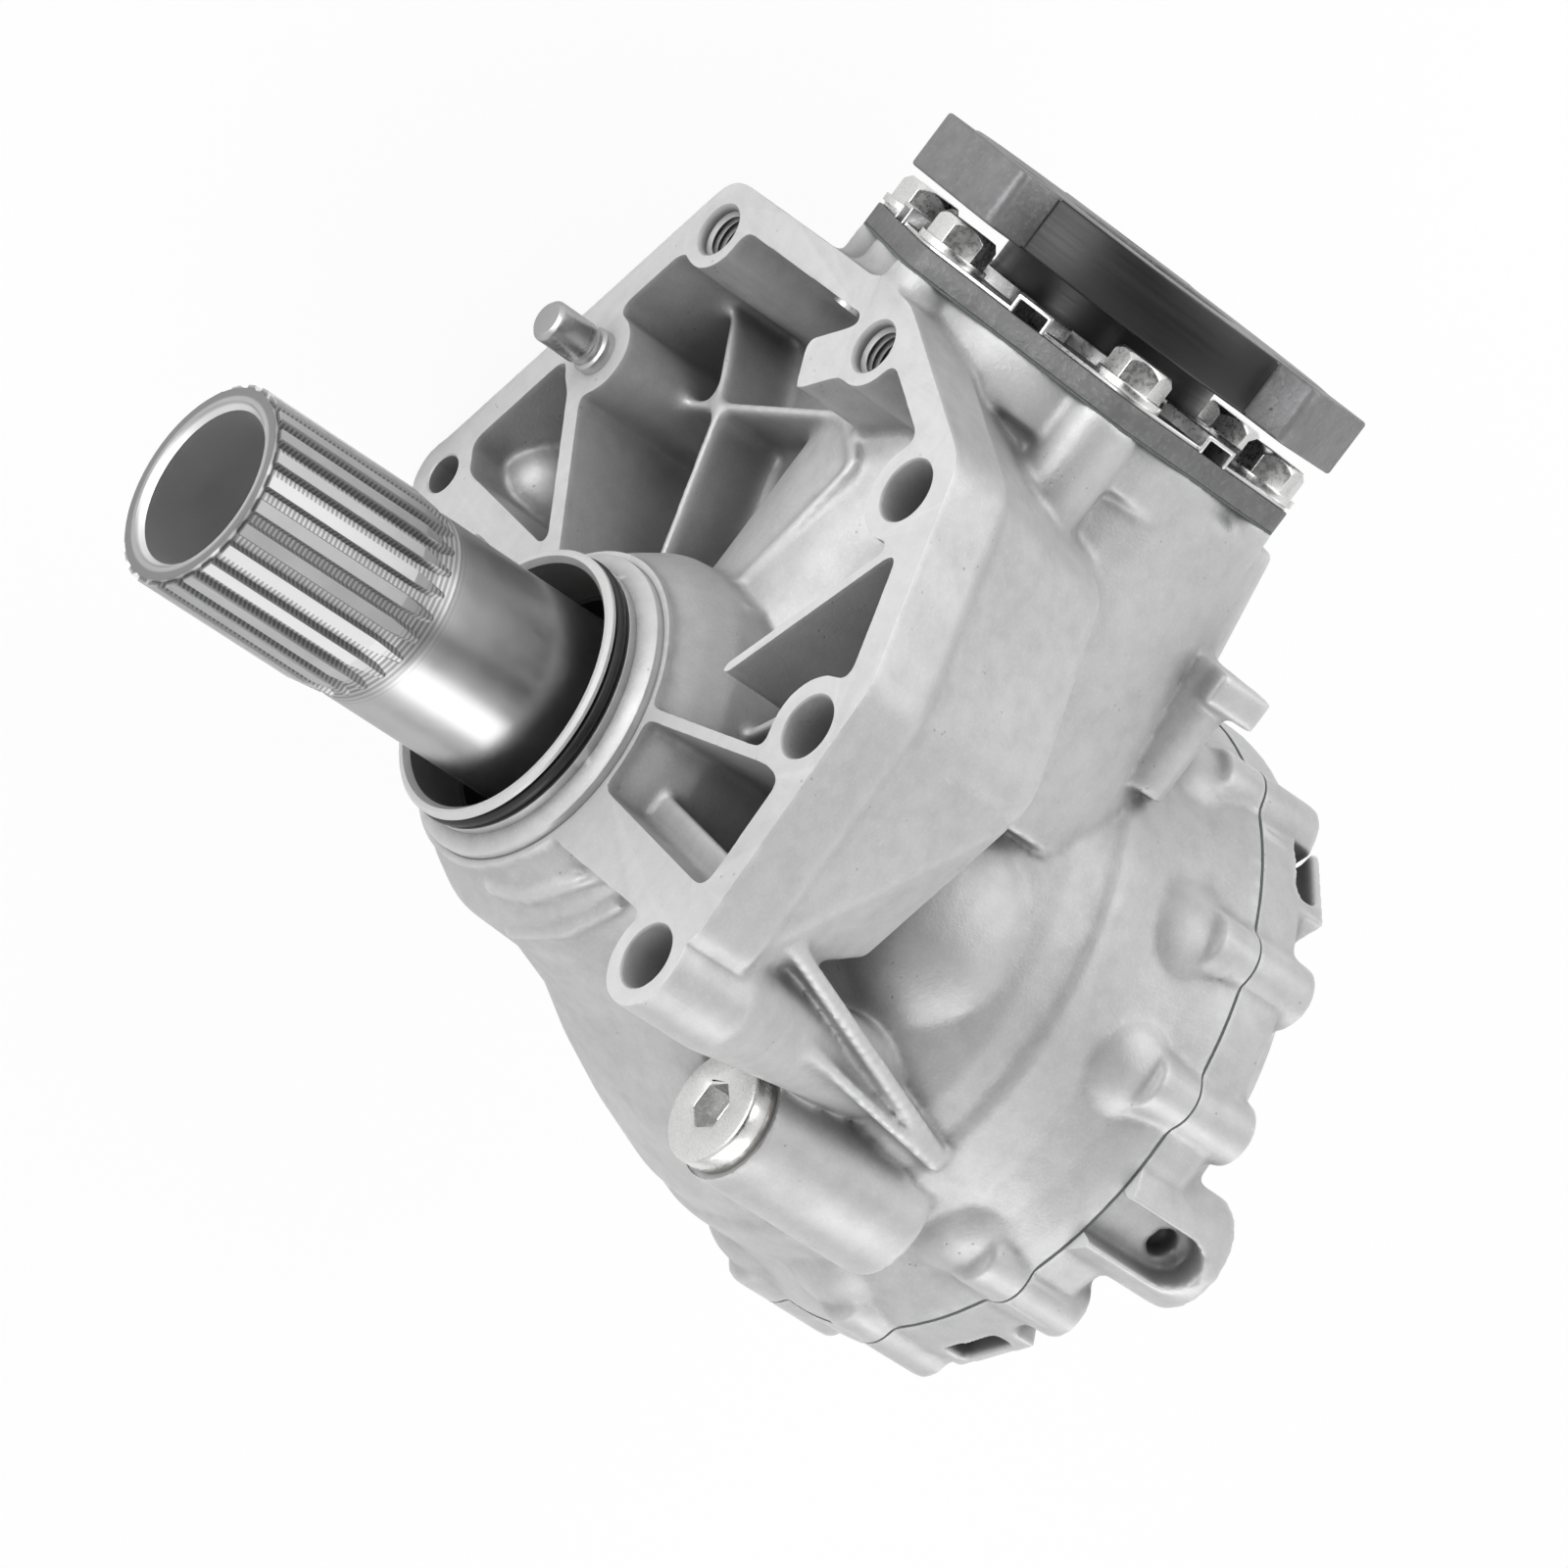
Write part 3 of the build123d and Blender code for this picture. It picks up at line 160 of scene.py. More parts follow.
def edge_group():
    """Masks from the form: outer edges, and hollows where painted shade darkens creases, both broken up by a noise.
    """
    group, start, end = node_group(
        "edge wear",
        [("Width", "NodeSocketFloat", 0.06), ("Breakup", "NodeSocketFloat", 220.0)],
        [("Edge", "NodeSocketFloat"), ("Hollow", "NodeSocketFloat")],
    )
    place = group.nodes.new("ShaderNodeTexCoord")
    form = group.nodes.new("ShaderNodeNewGeometry").outputs["Pointiness"]
    broken = noise(group, place.outputs["Object"], start.outputs["Breakup"], 4)
    lift = math_node(group, "MULTIPLY", math_node(group, "SUBTRACT", broken, 0.5), 0.05)
    value = math_node(group, "ADD", form, lift)
    high = math_node(group, "ADD", start.outputs["Width"], 0.5)
    low = math_node(group, "SUBTRACT", 0.5, start.outputs["Width"])
    edge = math_node(group, "DIVIDE", math_node(group, "SUBTRACT", value, 0.5),
                     math_node(group, "SUBTRACT", high, 0.5), clamp=True)
    # Painted shade: the hollow mask marks creases and inside corners for darkening.
    crease_shade = math_node(group, "DIVIDE", math_node(group, "SUBTRACT", 0.5, value),
                       math_node(group, "SUBTRACT", 0.5, low), clamp=True)
    group.links.new(edge, end.inputs["Edge"])
    group.links.new(crease_shade, end.inputs["Hollow"])
    return group


def grain_group():
    """A sandy casting skin: fine grain, soft lumps and scattered pits."""
    group, start, end = node_group(
        "casting grain",
        [("Grain", "NodeSocketFloat", 1400.0), ("Lumps", "NodeSocketFloat", 70.0),
         ("Pits", "NodeSocketFloat", 420.0)],
        [("Height", "NodeSocketFloat"), ("Mottle", "NodeSocketFloat"), ("Pit", "NodeSocketFloat"),
         ("Speck", "NodeSocketFloat")],
    )
    place = group.nodes.new("ShaderNodeTexCoord").outputs["Object"]
    grain = noise(group, place, start.outputs["Grain"], 4, 0.65)
    lumps = noise(group, place, start.outputs["Lumps"], 3, 0.5)
    cells = group.nodes.new("ShaderNodeTexVoronoi")
    cells.feature = "F1"
    group.links.new(place, cells.inputs["Vector"])
    group.links.new(start.outputs["Pits"], cells.inputs["Scale"])
    gate = remap(group, noise(group, place, 90.0, 2), 0.58, 0.66)
    pit = math_node(group, "MULTIPLY", remap(group, cells.outputs["Distance"], 0.05, 0.2, 1.0, 0.0), gate)
    height = math_node(group, "ADD", math_node(group, "MULTIPLY", grain, 0.5),
                       math_node(group, "MULTIPLY", lumps, 0.8))
    height = math_node(group, "SUBTRACT", height, math_node(group, "MULTIPLY", pit, 0.5))
    mottle = noise(group, place, 38.0, 5, 0.62)
    group.links.new(height, end.inputs["Height"])
    group.links.new(mottle, end.inputs["Mottle"])
    group.links.new(pit, end.inputs["Pit"])
    group.links.new(grain, end.inputs["Speck"])
    return group


def turning_group():
    """Fine rings left by turning, round an axis of the piece."""
    group, start, end = node_group(
        "turning lines",
        [("Vector", "NodeSocketVector", None), ("Pitch", "NodeSocketFloat", 1800.0)],
        [("Height", "NodeSocketFloat"), ("Shade", "NodeSocketFloat")],
    )
    wave = group.nodes.new("ShaderNodeTexWave")
    wave.wave_type = "BANDS"
    wave.bands_direction = "X"
    wave.wave_profile = "SIN"
    wave.inputs["Distortion"].default_value = 1.5
    wave.inputs["Detail"].default_value = 2.0
    group.links.new(start.outputs["Vector"], wave.inputs["Vector"])
    group.links.new(start.outputs["Pitch"], wave.inputs["Scale"])
    band = noise(group, start.outputs["Vector"], 900.0, 3)
    height = math_node(group, "ADD", math_node(group, "MULTIPLY", wave.outputs["Fac"], 0.6),
                       math_node(group, "MULTIPLY", band, 0.4))
    group.links.new(height, end.inputs["Height"])
    group.links.new(band, end.inputs["Shade"])
    return group


EDGE_WEAR_AND_CREASE_SHADE = edge_group()
GRAIN = grain_group()
TURNING = turning_group()


def place_group(tree, group, **values):
    """One of the shared groups, with its own values."""
    node = tree.nodes.new("ShaderNodeGroup")
    node.node_tree = group
    for label, value in values.items():
        node.inputs[label].default_value = value
    return node


def blend_colour(tree, mask, first, second):
    """Two colours, or colour sockets, mixed by a mask."""
    node = tree.nodes.new("ShaderNodeMix")
    node.data_type = "RGBA"
    for index, value in ((6, first), (7, second)):
        if isinstance(value, tuple):
            node.inputs[index].default_value = (*value, 1.0)
        else:
            tree.links.new(value, node.inputs[index])
    tree.links.new(mask, node.inputs[0])
    return node.outputs[2]


def new_material(name, colour, metallic, roughness):
    """A material with a Principled shader; returns it, its tree and the shader."""
    material = bpy.data.materials.new(name)
    material.use_nodes = True
    tree = material.node_tree
    shader = tree.nodes["Principled BSDF"]
    shader.inputs["Base Color"].default_value = (*colour, 1.0)
    shader.inputs["Metallic"].default_value = metallic
    shader.inputs["Roughness"].default_value = roughness
    return material, tree, shader


def bump(tree, shader, height, strength, distance):
    """Height fed to the shader's normal."""
    node = add(tree, "ShaderNodeBump", Strength=strength, Distance=distance)
    tree.links.new(height, node.inputs["Height"])
    tree.links.new(node.outputs["Normal"], shader.inputs["Normal"])


def cast_material(name, colour, light, dark, metallic, roughness, grain_strength, grain=1400.0,
                  speck=0.0, painted_occlusion_shade=0.0):
    """A cast or forged skin with grain, mottling, lighter edges, painted shade in hollows and, where asked, painted
    shade where an occlusion node finds the surface enclosed.
    """
    material, tree, shader = new_material(name, colour, metallic, roughness)
    skin = place_group(tree, GRAIN, Grain=grain)
    edges = place_group(tree, EDGE_WEAR_AND_CREASE_SHADE)
    mottle = remap(tree, skin.outputs["Mottle"], 0.35, 0.68)
    tone = blend_colour(tree, mottle, tuple(c * 0.90 for c in colour), colour)
    tone = blend_colour(tree, math_node(tree, "MULTIPLY", edges.outputs["Edge"], 0.55), tone, light)
    # Painted shade: creases are darkened towards the dark colour.
    tone = blend_colour(tree, math_node(tree, "MULTIPLY", edges.outputs["Hollow"], 0.60), tone, dark)
    tone = blend_colour(tree, math_node(tree, "MULTIPLY", skin.outputs["Pit"], 0.45), tone, dark)
    if speck:
        fleck = remap(tree, skin.outputs["Speck"], 0.50, 0.66)
        tone = blend_colour(tree, math_node(tree, "MULTIPLY", fleck, speck), tone, light)
    if painted_occlusion_shade:
        # Painted shade: where the occlusion node finds the surface enclosed, it is darkened towards the dark colour.
        occlusion = add(tree, "ShaderNodeAmbientOcclusion", samples=6, Distance=0.022)
        occlusion_shade = remap(tree, occlusion.outputs["AO"], 0.20, 0.80, painted_occlusion_shade, 0.0)
        tone = blend_colour(tree, occlusion_shade, tone, dark)
    tree.links.new(tone, shader.inputs["Base Color"])
    rough = remap(tree, skin.outputs["Mottle"], 0.3, 0.7, roughness + 0.06, roughness - 0.05)
    tree.links.new(rough, shader.inputs["Roughness"])
    bump(tree, shader, skin.outputs["Height"], grain_strength, 0.0004)
    return material


# How the turning lines lie: round X, round Y, or with no direction
LINE_MAPPING = {
    "X": ((0, 0, 0), (1.0, 0.02, 0.02)),
    "Y": ((0, 0, radians(-90)), (0.02, 1.0, 0.02)),
    "NONE": ((0, 0, 0), (1.0, 1.0, 1.0)),
}


def metal_material(name, colour, roughness, axis, pitch=1800.0, strength=0.08, metallic=1.0, shade=0.10):
    """Turned or ground metal: rings round an axis, or lines across a face, with uneven sheen."""
    material, tree, shader = new_material(name, colour, metallic, roughness)
    place = tree.nodes.new("ShaderNodeTexCoord").outputs["Object"]
    mapping = tree.nodes.new("ShaderNodeMapping")
    tree.links.new(place, mapping.inputs["Vector"])
    mapping.inputs["Rotation"].default_value, mapping.inputs["Scale"].default_value = LINE_MAPPING[axis]
    lines = place_group(tree, TURNING, Pitch=pitch)
    tree.links.new(mapping.outputs["Vector"], lines.inputs["Vector"])
    cloud = noise(tree, place, 60.0, 4, 0.6)
    mask = remap(tree, cloud, 0.35, 0.7)
    tone = blend_colour(tree, mask, tuple(c * (1 - shade) for c in colour), colour)
    tree.links.new(tone, shader.inputs["Base Color"])
    rough = remap(tree, lines.outputs["Shade"], 0.3, 0.7, roughness - 0.05, roughness + 0.08)
    tree.links.new(rough, shader.inputs["Roughness"])
    bump(tree, shader, lines.outputs["Height"], strength, 0.00006)
    return material


# The splined shaft: radii and places along Y, in metres, between which each mask changes
BORE_RADIUS = (0.0190, 0.0196)
GROOVE_RADIUS = (0.0205, 0.0212)
TIP_RADIUS = (0.02335, 0.02365)
SPLINE_START = (0.0435, 0.050)
MARK_PHASE_PER_METRE = 5200.0


def spline_material(name):
    """Ground steel whose spline grooves carry short dark marks, as a rolled spline does, with painted light in its
    bore.
    """
    material, tree, shader = new_material(name, (0.42, 0.42, 0.42), 1.0, 0.30)
    place = tree.nodes.new("ShaderNodeTexCoord").outputs["Object"]
    axes = tree.nodes.new("ShaderNodeSeparateXYZ")
    tree.links.new(place, axes.inputs[0])
    radius = math_node(tree, "SQRT", math_node(tree, "ADD", math_node(tree, "POWER", axes.outputs["X"], 2.0),
                                               math_node(tree, "POWER", axes.outputs["Z"], 2.0)))
    groove = math_node(tree, "MULTIPLY", remap(tree, radius, *TIP_RADIUS, 1.0, 0.0),
                       remap(tree, radius, *GROOVE_RADIUS))
    toothed = remap(tree, axes.outputs["Y"], *SPLINE_START)
    groove = math_node(tree, "MULTIPLY", groove, toothed)
    rungs = math_node(tree, "SINE", math_node(tree, "MULTIPLY", axes.outputs["Y"], MARK_PHASE_PER_METRE))
    rungs = math_node(tree, "ADD", rungs, math_node(tree, "MULTIPLY", noise(tree, place, 500.0, 3), 1.2))
    ladder = remap(tree, rungs, 0.2, 1.2)
    cloud = remap(tree, noise(tree, place, 45.0, 4, 0.6), 0.35, 0.7)
    tone = blend_colour(tree, cloud, (0.46, 0.46, 0.46), (0.52, 0.52, 0.52))
    grooved = blend_colour(tree, ladder, (0.27, 0.27, 0.27), (0.50, 0.50, 0.50))
    tone = blend_colour(tree, groove, tone, grooved)
    # Painted light: the bore is coloured much lighter than the shaft, lifting the shade inside it.
    bore = remap(tree, radius, *BORE_RADIUS, 1.0, 0.0)
    tone = blend_colour(tree, bore, tone, (0.80, 0.80, 0.80))
    tree.links.new(tone, shader.inputs["Base Color"])
    rough = math_node(tree, "ADD", remap(tree, cloud, 0.0, 1.0, 0.30, 0.35),
                      math_node(tree, "MULTIPLY", toothed, 0.12))
    tree.links.new(rough, shader.inputs["Roughness"])
    bump(tree, shader, math_node(tree, "MULTIPLY", ladder, groove), 0.10, 0.00008)
    return material


def plain_material(name, colour, metallic, roughness, scale, variation, strength):
    """Rubber, gasket or moulded skin: a fine noise in colour, roughness and height."""
    material, tree, shader = new_material(name, colour, metallic, roughness)
    place = tree.nodes.new("ShaderNodeTexCoord").outputs["Object"]
    fine = noise(tree, place, scale, 4, 0.6)
    mask = remap(tree, fine, 0.35, 0.65)
    tone = blend_colour(tree, mask, tuple(c * (1 - variation) for c in colour), colour)
    tree.links.new(tone, shader.inputs["Base Color"])
    tree.links.new(remap(tree, fine, 0.3, 0.7, roughness - 0.06, roughness + 0.06), shader.inputs["Roughness"])
    bump(tree, shader, fine, strength, 0.0001)
    return material


# In the cast skins below the dark colour is also the painted shade of creases, and the last value of the first two
# sets painted shade in enclosed pockets.
CAST = cast_material("cast aluminium", (0.53, 0.53, 0.53), (0.80, 0.80, 0.80), (0.11, 0.11, 0.112),
                     0.35, 0.44, 0.45, speck=0.12, painted_occlusion_shade=0.75)
MACHINED = metal_material("machined aluminium", (0.97, 0.97, 0.97), 0.36, "X", 500.0, 0.02,
                          metallic=0.25, shade=0.02)
TURNED_ALUMINIUM = metal_material("turned aluminium", (0.94, 0.94, 0.94), 0.30, "Y", 2200.0, 0.05,
                                  metallic=0.7, shade=0.04)
GROUND_STEEL = metal_material("ground steel", (0.56, 0.56, 0.56), 0.30, "Y", 420.0, 0.012, shade=0.05)
GEAR_STEEL = metal_material("gear steel", (0.30, 0.30, 0.31), 0.38, "NONE", 900.0, 0.05)
FORGED = cast_material("dark forging", (0.10, 0.10, 0.103), (0.36, 0.36, 0.365), (0.012, 0.012, 0.012),
                       0.6, 0.46, 0.9, 700.0, speck=0.25, painted_occlusion_shade=0.8)
TURNED_DARK = metal_material("turned dark steel", (0.035, 0.035, 0.036), 0.36, "X", 500.0, 0.03, metallic=0.5)
RETAINER = cast_material("retainer iron", (0.075, 0.075, 0.077), (0.30, 0.30, 0.30), (0.02, 0.02, 0.02),
                         0.5, 0.50, 0.9, 800.0, speck=0.30)
ZINC = metal_material("bright zinc", (0.84, 0.84, 0.83), 0.28, "NONE", 300.0, 0.003, shade=0.06)
GUARD = metal_material("pressed zinc sheet", (0.80, 0.80, 0.80), 0.30, "NONE", 300.0, 0.003, shade=0.06)
SHAFT = spline_material("splined shaft")
BEARING = metal_material("bearing steel", (0.60, 0.60, 0.61), 0.18, "NONE", 900.0, 0.03)
RUBBER = plain_material("seal rubber", (0.018, 0.018, 0.019), 0.0, 0.42, 900.0, 0.25, 0.2)
GASKET = plain_material("fibre gasket", (0.12, 0.14, 0.13), 0.0, 0.72, 1600.0, 0.3, 0.3)
SOFT_WASHER = metal_material("soft washer", (0.62, 0.60, 0.57), 0.36, "NONE", 700.0, 0.05)


# Mesh tools

def merged_copy(node):
    """A bmesh copy of a CAD node with its loose triangles joined."""
    mesh = bmesh.new()
    mesh.from_mesh(frame["nodes"][node].data)
    bmesh.ops.remove_doubles(mesh, verts=mesh.verts, dist=2e-6)
    return mesh


def turned(mesh, profile, axis, centre, steps=96):
    """A closed turned solid added to a bmesh; the profile holds (along, radius) pairs from end to end."""
    side = Vector((0, 0, 1))
    other = axis.cross(side)
    rings = []
    for along, radius in profile:
        middle = centre + axis * along
        if radius <= 1e-7:
            rings.append([mesh.verts.new(middle)])
            continue
        rings.append([
            mesh.verts.new(middle + radius * (side * cos(2 * pi * n / steps) + other * sin(2 * pi * n / steps)))
            for n in range(steps)
        ])
    for ring, after in zip(rings, rings[1:]):
        if len(ring) == 1 and len(after) == 1:
            continue
        for n in range(steps):
            m = (n + 1) % steps
            if len(ring) == 1:
                mesh.faces.new((ring[0], after[n], after[m]))
            elif len(after) == 1:
                mesh.faces.new((ring[n], after[0], ring[m]))
            else:
                mesh.faces.new((ring[n], after[n], after[m], ring[m]))


def rod(mesh, radius, start, end, steps=64):
    """A closed round bar between two points."""
    run = Vector(end) - Vector(start)
    along = run.normalized()
    side = along.orthogonal().normalized()
    other = along.cross(side)
    low, high = mesh.verts.new(start), mesh.verts.new(end)
    rings = []
    for middle in (Vector(start), Vector(end)):
        rings.append([
            mesh.verts.new(middle + radius * (side * cos(2 * pi * n / steps) + other * sin(2 * pi * n / steps)))
            for n in range(steps)
        ])
    for n in range(steps):
        m = (n + 1) % steps
        mesh.faces.new((low, rings[0][m], rings[0][n]))
        mesh.faces.new((rings[0][n], rings[0][m], rings[1][m], rings[1][n]))
        mesh.faces.new((high, rings[1][n], rings[1][m]))


def block(mesh, centre, size, turn=None):
    """A closed box, turned about its centre."""
    matrix = Matrix.Translation(centre) @ (turn or Matrix.Identity(4)) @ Matrix.Diagonal((*size, 1))
    bmesh.ops.create_cube(mesh, size=1.0, matrix=matrix)


def ball(mesh, centre, size):
    """A closed ellipsoid."""
    matrix = Matrix.Translation(centre) @ Matrix.Diagonal((*size, 1))
    bmesh.ops.create_icosphere(mesh, subdivisions=4, radius=1.0, matrix=matrix)


def as_object(name, mesh):
    """A new object from a bmesh, in the scene, with its faces pointing outwards."""
    bmesh.ops.recalc_face_normals(mesh, faces=mesh.faces)
    data = bpy.data.meshes.new(name)
    mesh.to_mesh(data)
    mesh.free()
    thing = bpy.data.objects.new(name, data)
    bpy.context.scene.collection.objects.link(thing)
    return thing


def settle(thing):
    """Turns the live modifiers of an object into its mesh."""
    graph = bpy.context.evaluated_depsgraph_get()
    data = bpy.data.meshes.new_from_object(thing.evaluated_get(graph))
    thing.modifiers.clear()
    old = thing.data
    thing.data = data
    data.name = thing.name
    bpy.data.meshes.remove(old)
    return thing


def modify(thing, kind, **values):
    """One modifier, applied at once."""
    modifier = thing.modifiers.new(kind, kind)
    for key, value in values.items():
        setattr(modifier, key, value)
    return settle(thing)


def cut(thing, cutter, operation="DIFFERENCE"):
    """A boolean with a cutter, which is then removed."""
    modify(thing, "BOOLEAN", object=cutter, operation=operation, solver="MANIFOLD", material_mode="TRANSFER")
    bpy.data.objects.remove(cutter)
    return thing


def triangles(thing):
    """How many triangles an object's mesh makes."""
    return sum(len(face.vertices) - 2 for face in thing.data.polygons)


def thin(thing, limit):
    """Fewer triangles, where the form allows it."""
    count = triangles(thing)
    if count > limit:
        modify(thing, "DECIMATE", ratio=limit / count, use_collapse_triangulate=True)
    return thing


def finish_piece(thing, body, nodes, material=None, smooth=35):
    """Materials, smooth faces and the frame's calls for a finished piece."""
    if material:
        thing.data.materials.clear()
        thing.data.materials.append(material)
    thing.data.shade_smooth()
    thing.data.set_sharp_from_angle(angle=radians(smooth))
    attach(thing, body)
    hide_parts(*nodes)
    return thing


def dress(node, material):
    """A better finish on a CAD node."""
    thing = frame["nodes"][node]
    thing.data.materials.clear()
    thing.data.materials.append(material)


def soften(node, width, material):
    """A CAD node's form with small rounded edges, standing in for the node."""
    body = frame["nodes"][node]["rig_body"]
    mesh = merged_copy(node)
    bmesh.ops.dissolve_limit(mesh, angle_limit=radians(0.6), verts=mesh.verts, edges=mesh.edges)
    thing = as_object(node + "_dressed", mesh)
    modify(thing, "BEVEL", width=width, segments=2, limit_method="ANGLE", angle_limit=radians(30),
           use_clamp_overlap=True, harden_normals=False, miter_outer="MITER_ARC")
    modify(thing, "TRIANGULATE")
    return finish_piece(thing, body, [node], material)


# The castings: closed lumps joined by a fine remesh, then machined. Corners are in X and Z, profiles are
# pairs of place along the axis and radius, ribs are start, end and thickness, all in millimetres.

FACE_CORNERS = ((17.0, -102.6), (114.0, -67.0), (117.8, 20.0), (99.5, 71.0), (52.0, 95.5), (-14.0, 99.8),
                (-16.0, 66.0), (-18.0, 36.0), (17.0, -38.0))
FACE_RADII = (8.0, 9.0, 24.0, 14.0, 16.0, 6.0, 0.5, 4.0, 4.0)
FOOT_CORNERS = ((24.0, -93.0), (106.0, -61.0), (109.0, 18.0), (92.0, 64.0), (50.0, 89.0), (2.0, 73.0),
                (-8.0, 59.0), (-10.0, 34.0), (24.0, -36.0))
MACHINED_RIBS = (((57, -70), (20, -28), 6), ((83, 75), (32, 47), 4), ((27, 82), (15, 32), 4.5),
                 ((-7, 94), (-7, 30), 10.5), ((105, 17), (92, 0), 14))
CAST_RIBS = (((90, -66), (68, -45), 4.2), ((69, -46), (34, -27), 4.2), ((60, -77), (89, -4), 4.2),
             ((89, -5), (82, 10), 4.5), ((83, 9.5), (36, -1), 4.2), ((33, 47.5), (20, 36), 4.5),
             ((-12, 89), (34, 89), 18))
POSTS = ((42.0, 12.5), (31.0, 30.0))
SPIGOT_RIDGES = (((-36.5, -5, 17.3), (-32.3, -8, 27.3), (-22.5, -9, 38.0), (-13.3, -12.8, 43.2)),
                 ((-42.6, -17, 16.4), (-33.4, -18.8, 31.3), (-21.4, -19, 40.8)))
DRUM_PROFILE = ((-144, 0), (-144, 81), (-138, 80), (-130, 77.6), (-120, 75.8), (-108, 75.8), (-105.5, 75.6),
                (-103, 73.9), (-95, 72.9), (-78, 66.8), (-63, 60), (-48, 51.6), (-31, 46.2), (-14, 45.2),
                (-7, 41.5), (-2, 38.2), (0.5, 38.2), (5, 37), (5, 0))
DRUM_INSIDE = ((-143, 0), (-143, 70), (-95, 70), (-75.5, 63), (-63, 55), (-48.5, 46.6), (-36, 40), (-17, 40),
               (-17, 26.5), (-14, 26.5), (-14, 0))
PINION_INSIDE = ((15, 0), (15, 30), (64, 30), (65, 31), (83.25, 31), (83.25, 27.5), (99, 27.5), (99, 31),
                 (125, 31), (125, 0))
COVER_PROFILE = ((-141, 0), (-141, 81), (-154.6, 81), (-159.6, 75), (-167.6, 67), (-172.6, 53), (-176.6, 47),
                 (-180, 45), (-180, 0))
COVER_INSIDE = ((-141, 44.5), (-141, 70), (-154.6, 70), (-162.6, 63), (-167.6, 46.5), (-162.6, 44.5))
COVER_BORE = ((-141, 0), (-141, 40), (-164, 40), (-164, 31), (-169, 31), (-169, 34), (-182, 34), (-182, 0))
VOXEL = 0.0009
CAST_SMOOTHING = 6
POCKET_SMOOTHING = 18
POCKET_SWELL = 0.0008
CASE_TRIANGLES = 175000
COVER_TRIANGLES = 90000


def scaled(profile):
    """A profile written in millimetres, in metres."""
    return [(along * MM, radius * MM) for along, radius in profile]


def inset(corners, amount):
    """The corners of an outline moved inwards by one amount from every side."""
    moved = []
    for index, corner in enumerate(corners):
        before = Vector(corner) - Vector(corners[index - 1])
        after = Vector(corners[(index + 1) % len(corners)]) - Vector(corner)
        normals = [Vector((-side.y, side.x)).normalized() for side in (before, after)]
        reach = amount / (1 + normals[0].dot(normals[1]))
        moved.append(tuple(Vector(corner) + (normals[0] + normals[1]) * reach))
    return moved


def outline(corners, radii, steps=8):
    """The points of a polygon with round corners, in metres."""
    points = []
    for index, corner in enumerate(corners):
        here = Vector(corner)
        back = (Vector(corners[index - 1]) - here).normalized()
        ahead = (Vector(corners[(index + 1) % len(corners)]) - here).normalized()
        half = back.angle(ahead) / 2
        centre = here + (back + ahead).normalized() * radii[index] / sin(half)
        start = here + back * radii[index] / tan(half) - centre
        end = here + ahead * radii[index] / tan(half) - centre
        for step in range(steps + 1):
            arm = start.lerp(end, step / steps).normalized() * radii[index]
            points.append((centre + arm) * MM)
    return points


def loft(mesh, low, low_y, high, high_y):
    """A closed solid between two outlines in X and Z, at two heights in millimetres."""
    rings = [[mesh.verts.new((point[0], y * MM, point[1])) for point in points]
             for points, y in ((low, low_y), (high, high_y))]
    count = len(low)
    for n in range(count):
        m = (n + 1) % count
        mesh.faces.new((rings[0][n], rings[0][m], rings[1][m], rings[1][n]))
    mesh.faces.new(rings[0])
    mesh.faces.new(list(reversed(rings[1])))


def oblong(x, z, width, height):
    """The corners of a rectangle in X and Z, from millimetres."""
    return [((x + side * width / 2) * MM, (z + end * height / 2) * MM)
            for side, end in ((-1, -1), (1, -1), (1, 1), (-1, 1))]


def wall(mesh, start, end, thickness, low_y, high_y):
    """A straight rib between two points in X and Z, from millimetres."""
    run = Vector(end) - Vector(start)
    across = Vector((-run.y, run.x)).normalized() * thickness / 2
    corners = [Vector(start) + across, Vector(end) + across, Vector(end) - across, Vector(start) - across]
    loft(mesh, [corner * MM for corner in corners], low_y, [corner * MM for corner in corners], high_y)


def post(mesh, radius, place, low_y, high_y, steps=64):
    """A round bar along Y at a place in X and Z, from millimetres."""
    x, z = place
    rod(mesh, radius * MM, (x * MM, low_y * MM, z * MM), (x * MM, high_y * MM, z * MM), steps)


def remeshed(name, mesh, smoothing):
    """Overlapping closed lumps as one skin with soft edges."""
    thing = as_object(name, mesh)
    modify(thing, "REMESH", mode="VOXEL", voxel_size=VOXEL, adaptivity=0.0)
    if smoothing:
        modify(thing, "SMOOTH", factor=0.5, iterations=smoothing)
    return thing


def subtract(thing, name, fill):
    """Takes away what the function draws in a new mesh."""
    mesh = bmesh.new()
    fill(mesh)
    return cut(thing, as_object(name, mesh))


def hole_bosses():
    """The places and radii of the bosses round the holes of the mounting face."""
    bosses = [((x / MM, z / MM), 12.75) for x, z in BOLT_HOLES] + [((x / MM, z / MM), 10.6) for x, z in TAPPED_HOLES]
    return bosses + [((SMALL_HOLE[0] / MM, SMALL_HOLE[1] / MM), 10.25), ((DOWEL[0] / MM, DOWEL[1] / MM), 11.0)]


def pocket(ribs, hub, low_y, high_y):
    """The open space of the bell between hub, bosses and ribs, as a cutter with soft corners."""
    mesh = bmesh.new()
    room = outline(inset(FACE_CORNERS, 9.0), [max(2.5, radius - 4.5) for radius in FACE_RADII])
    loft(mesh, room, low_y, room, high_y)
    space = as_object("space", mesh)
    for place, radius in [((0, 0), hub), *hole_bosses()]:
        subtract(space, "boss", lambda mesh: post(mesh, radius, place, low_y - 2, high_y + 2))
    for start, end, thickness in ribs:
        subtract(space, "rib", lambda mesh: wall(mesh, start, end, thickness, low_y - 2, high_y + 2))
    return space


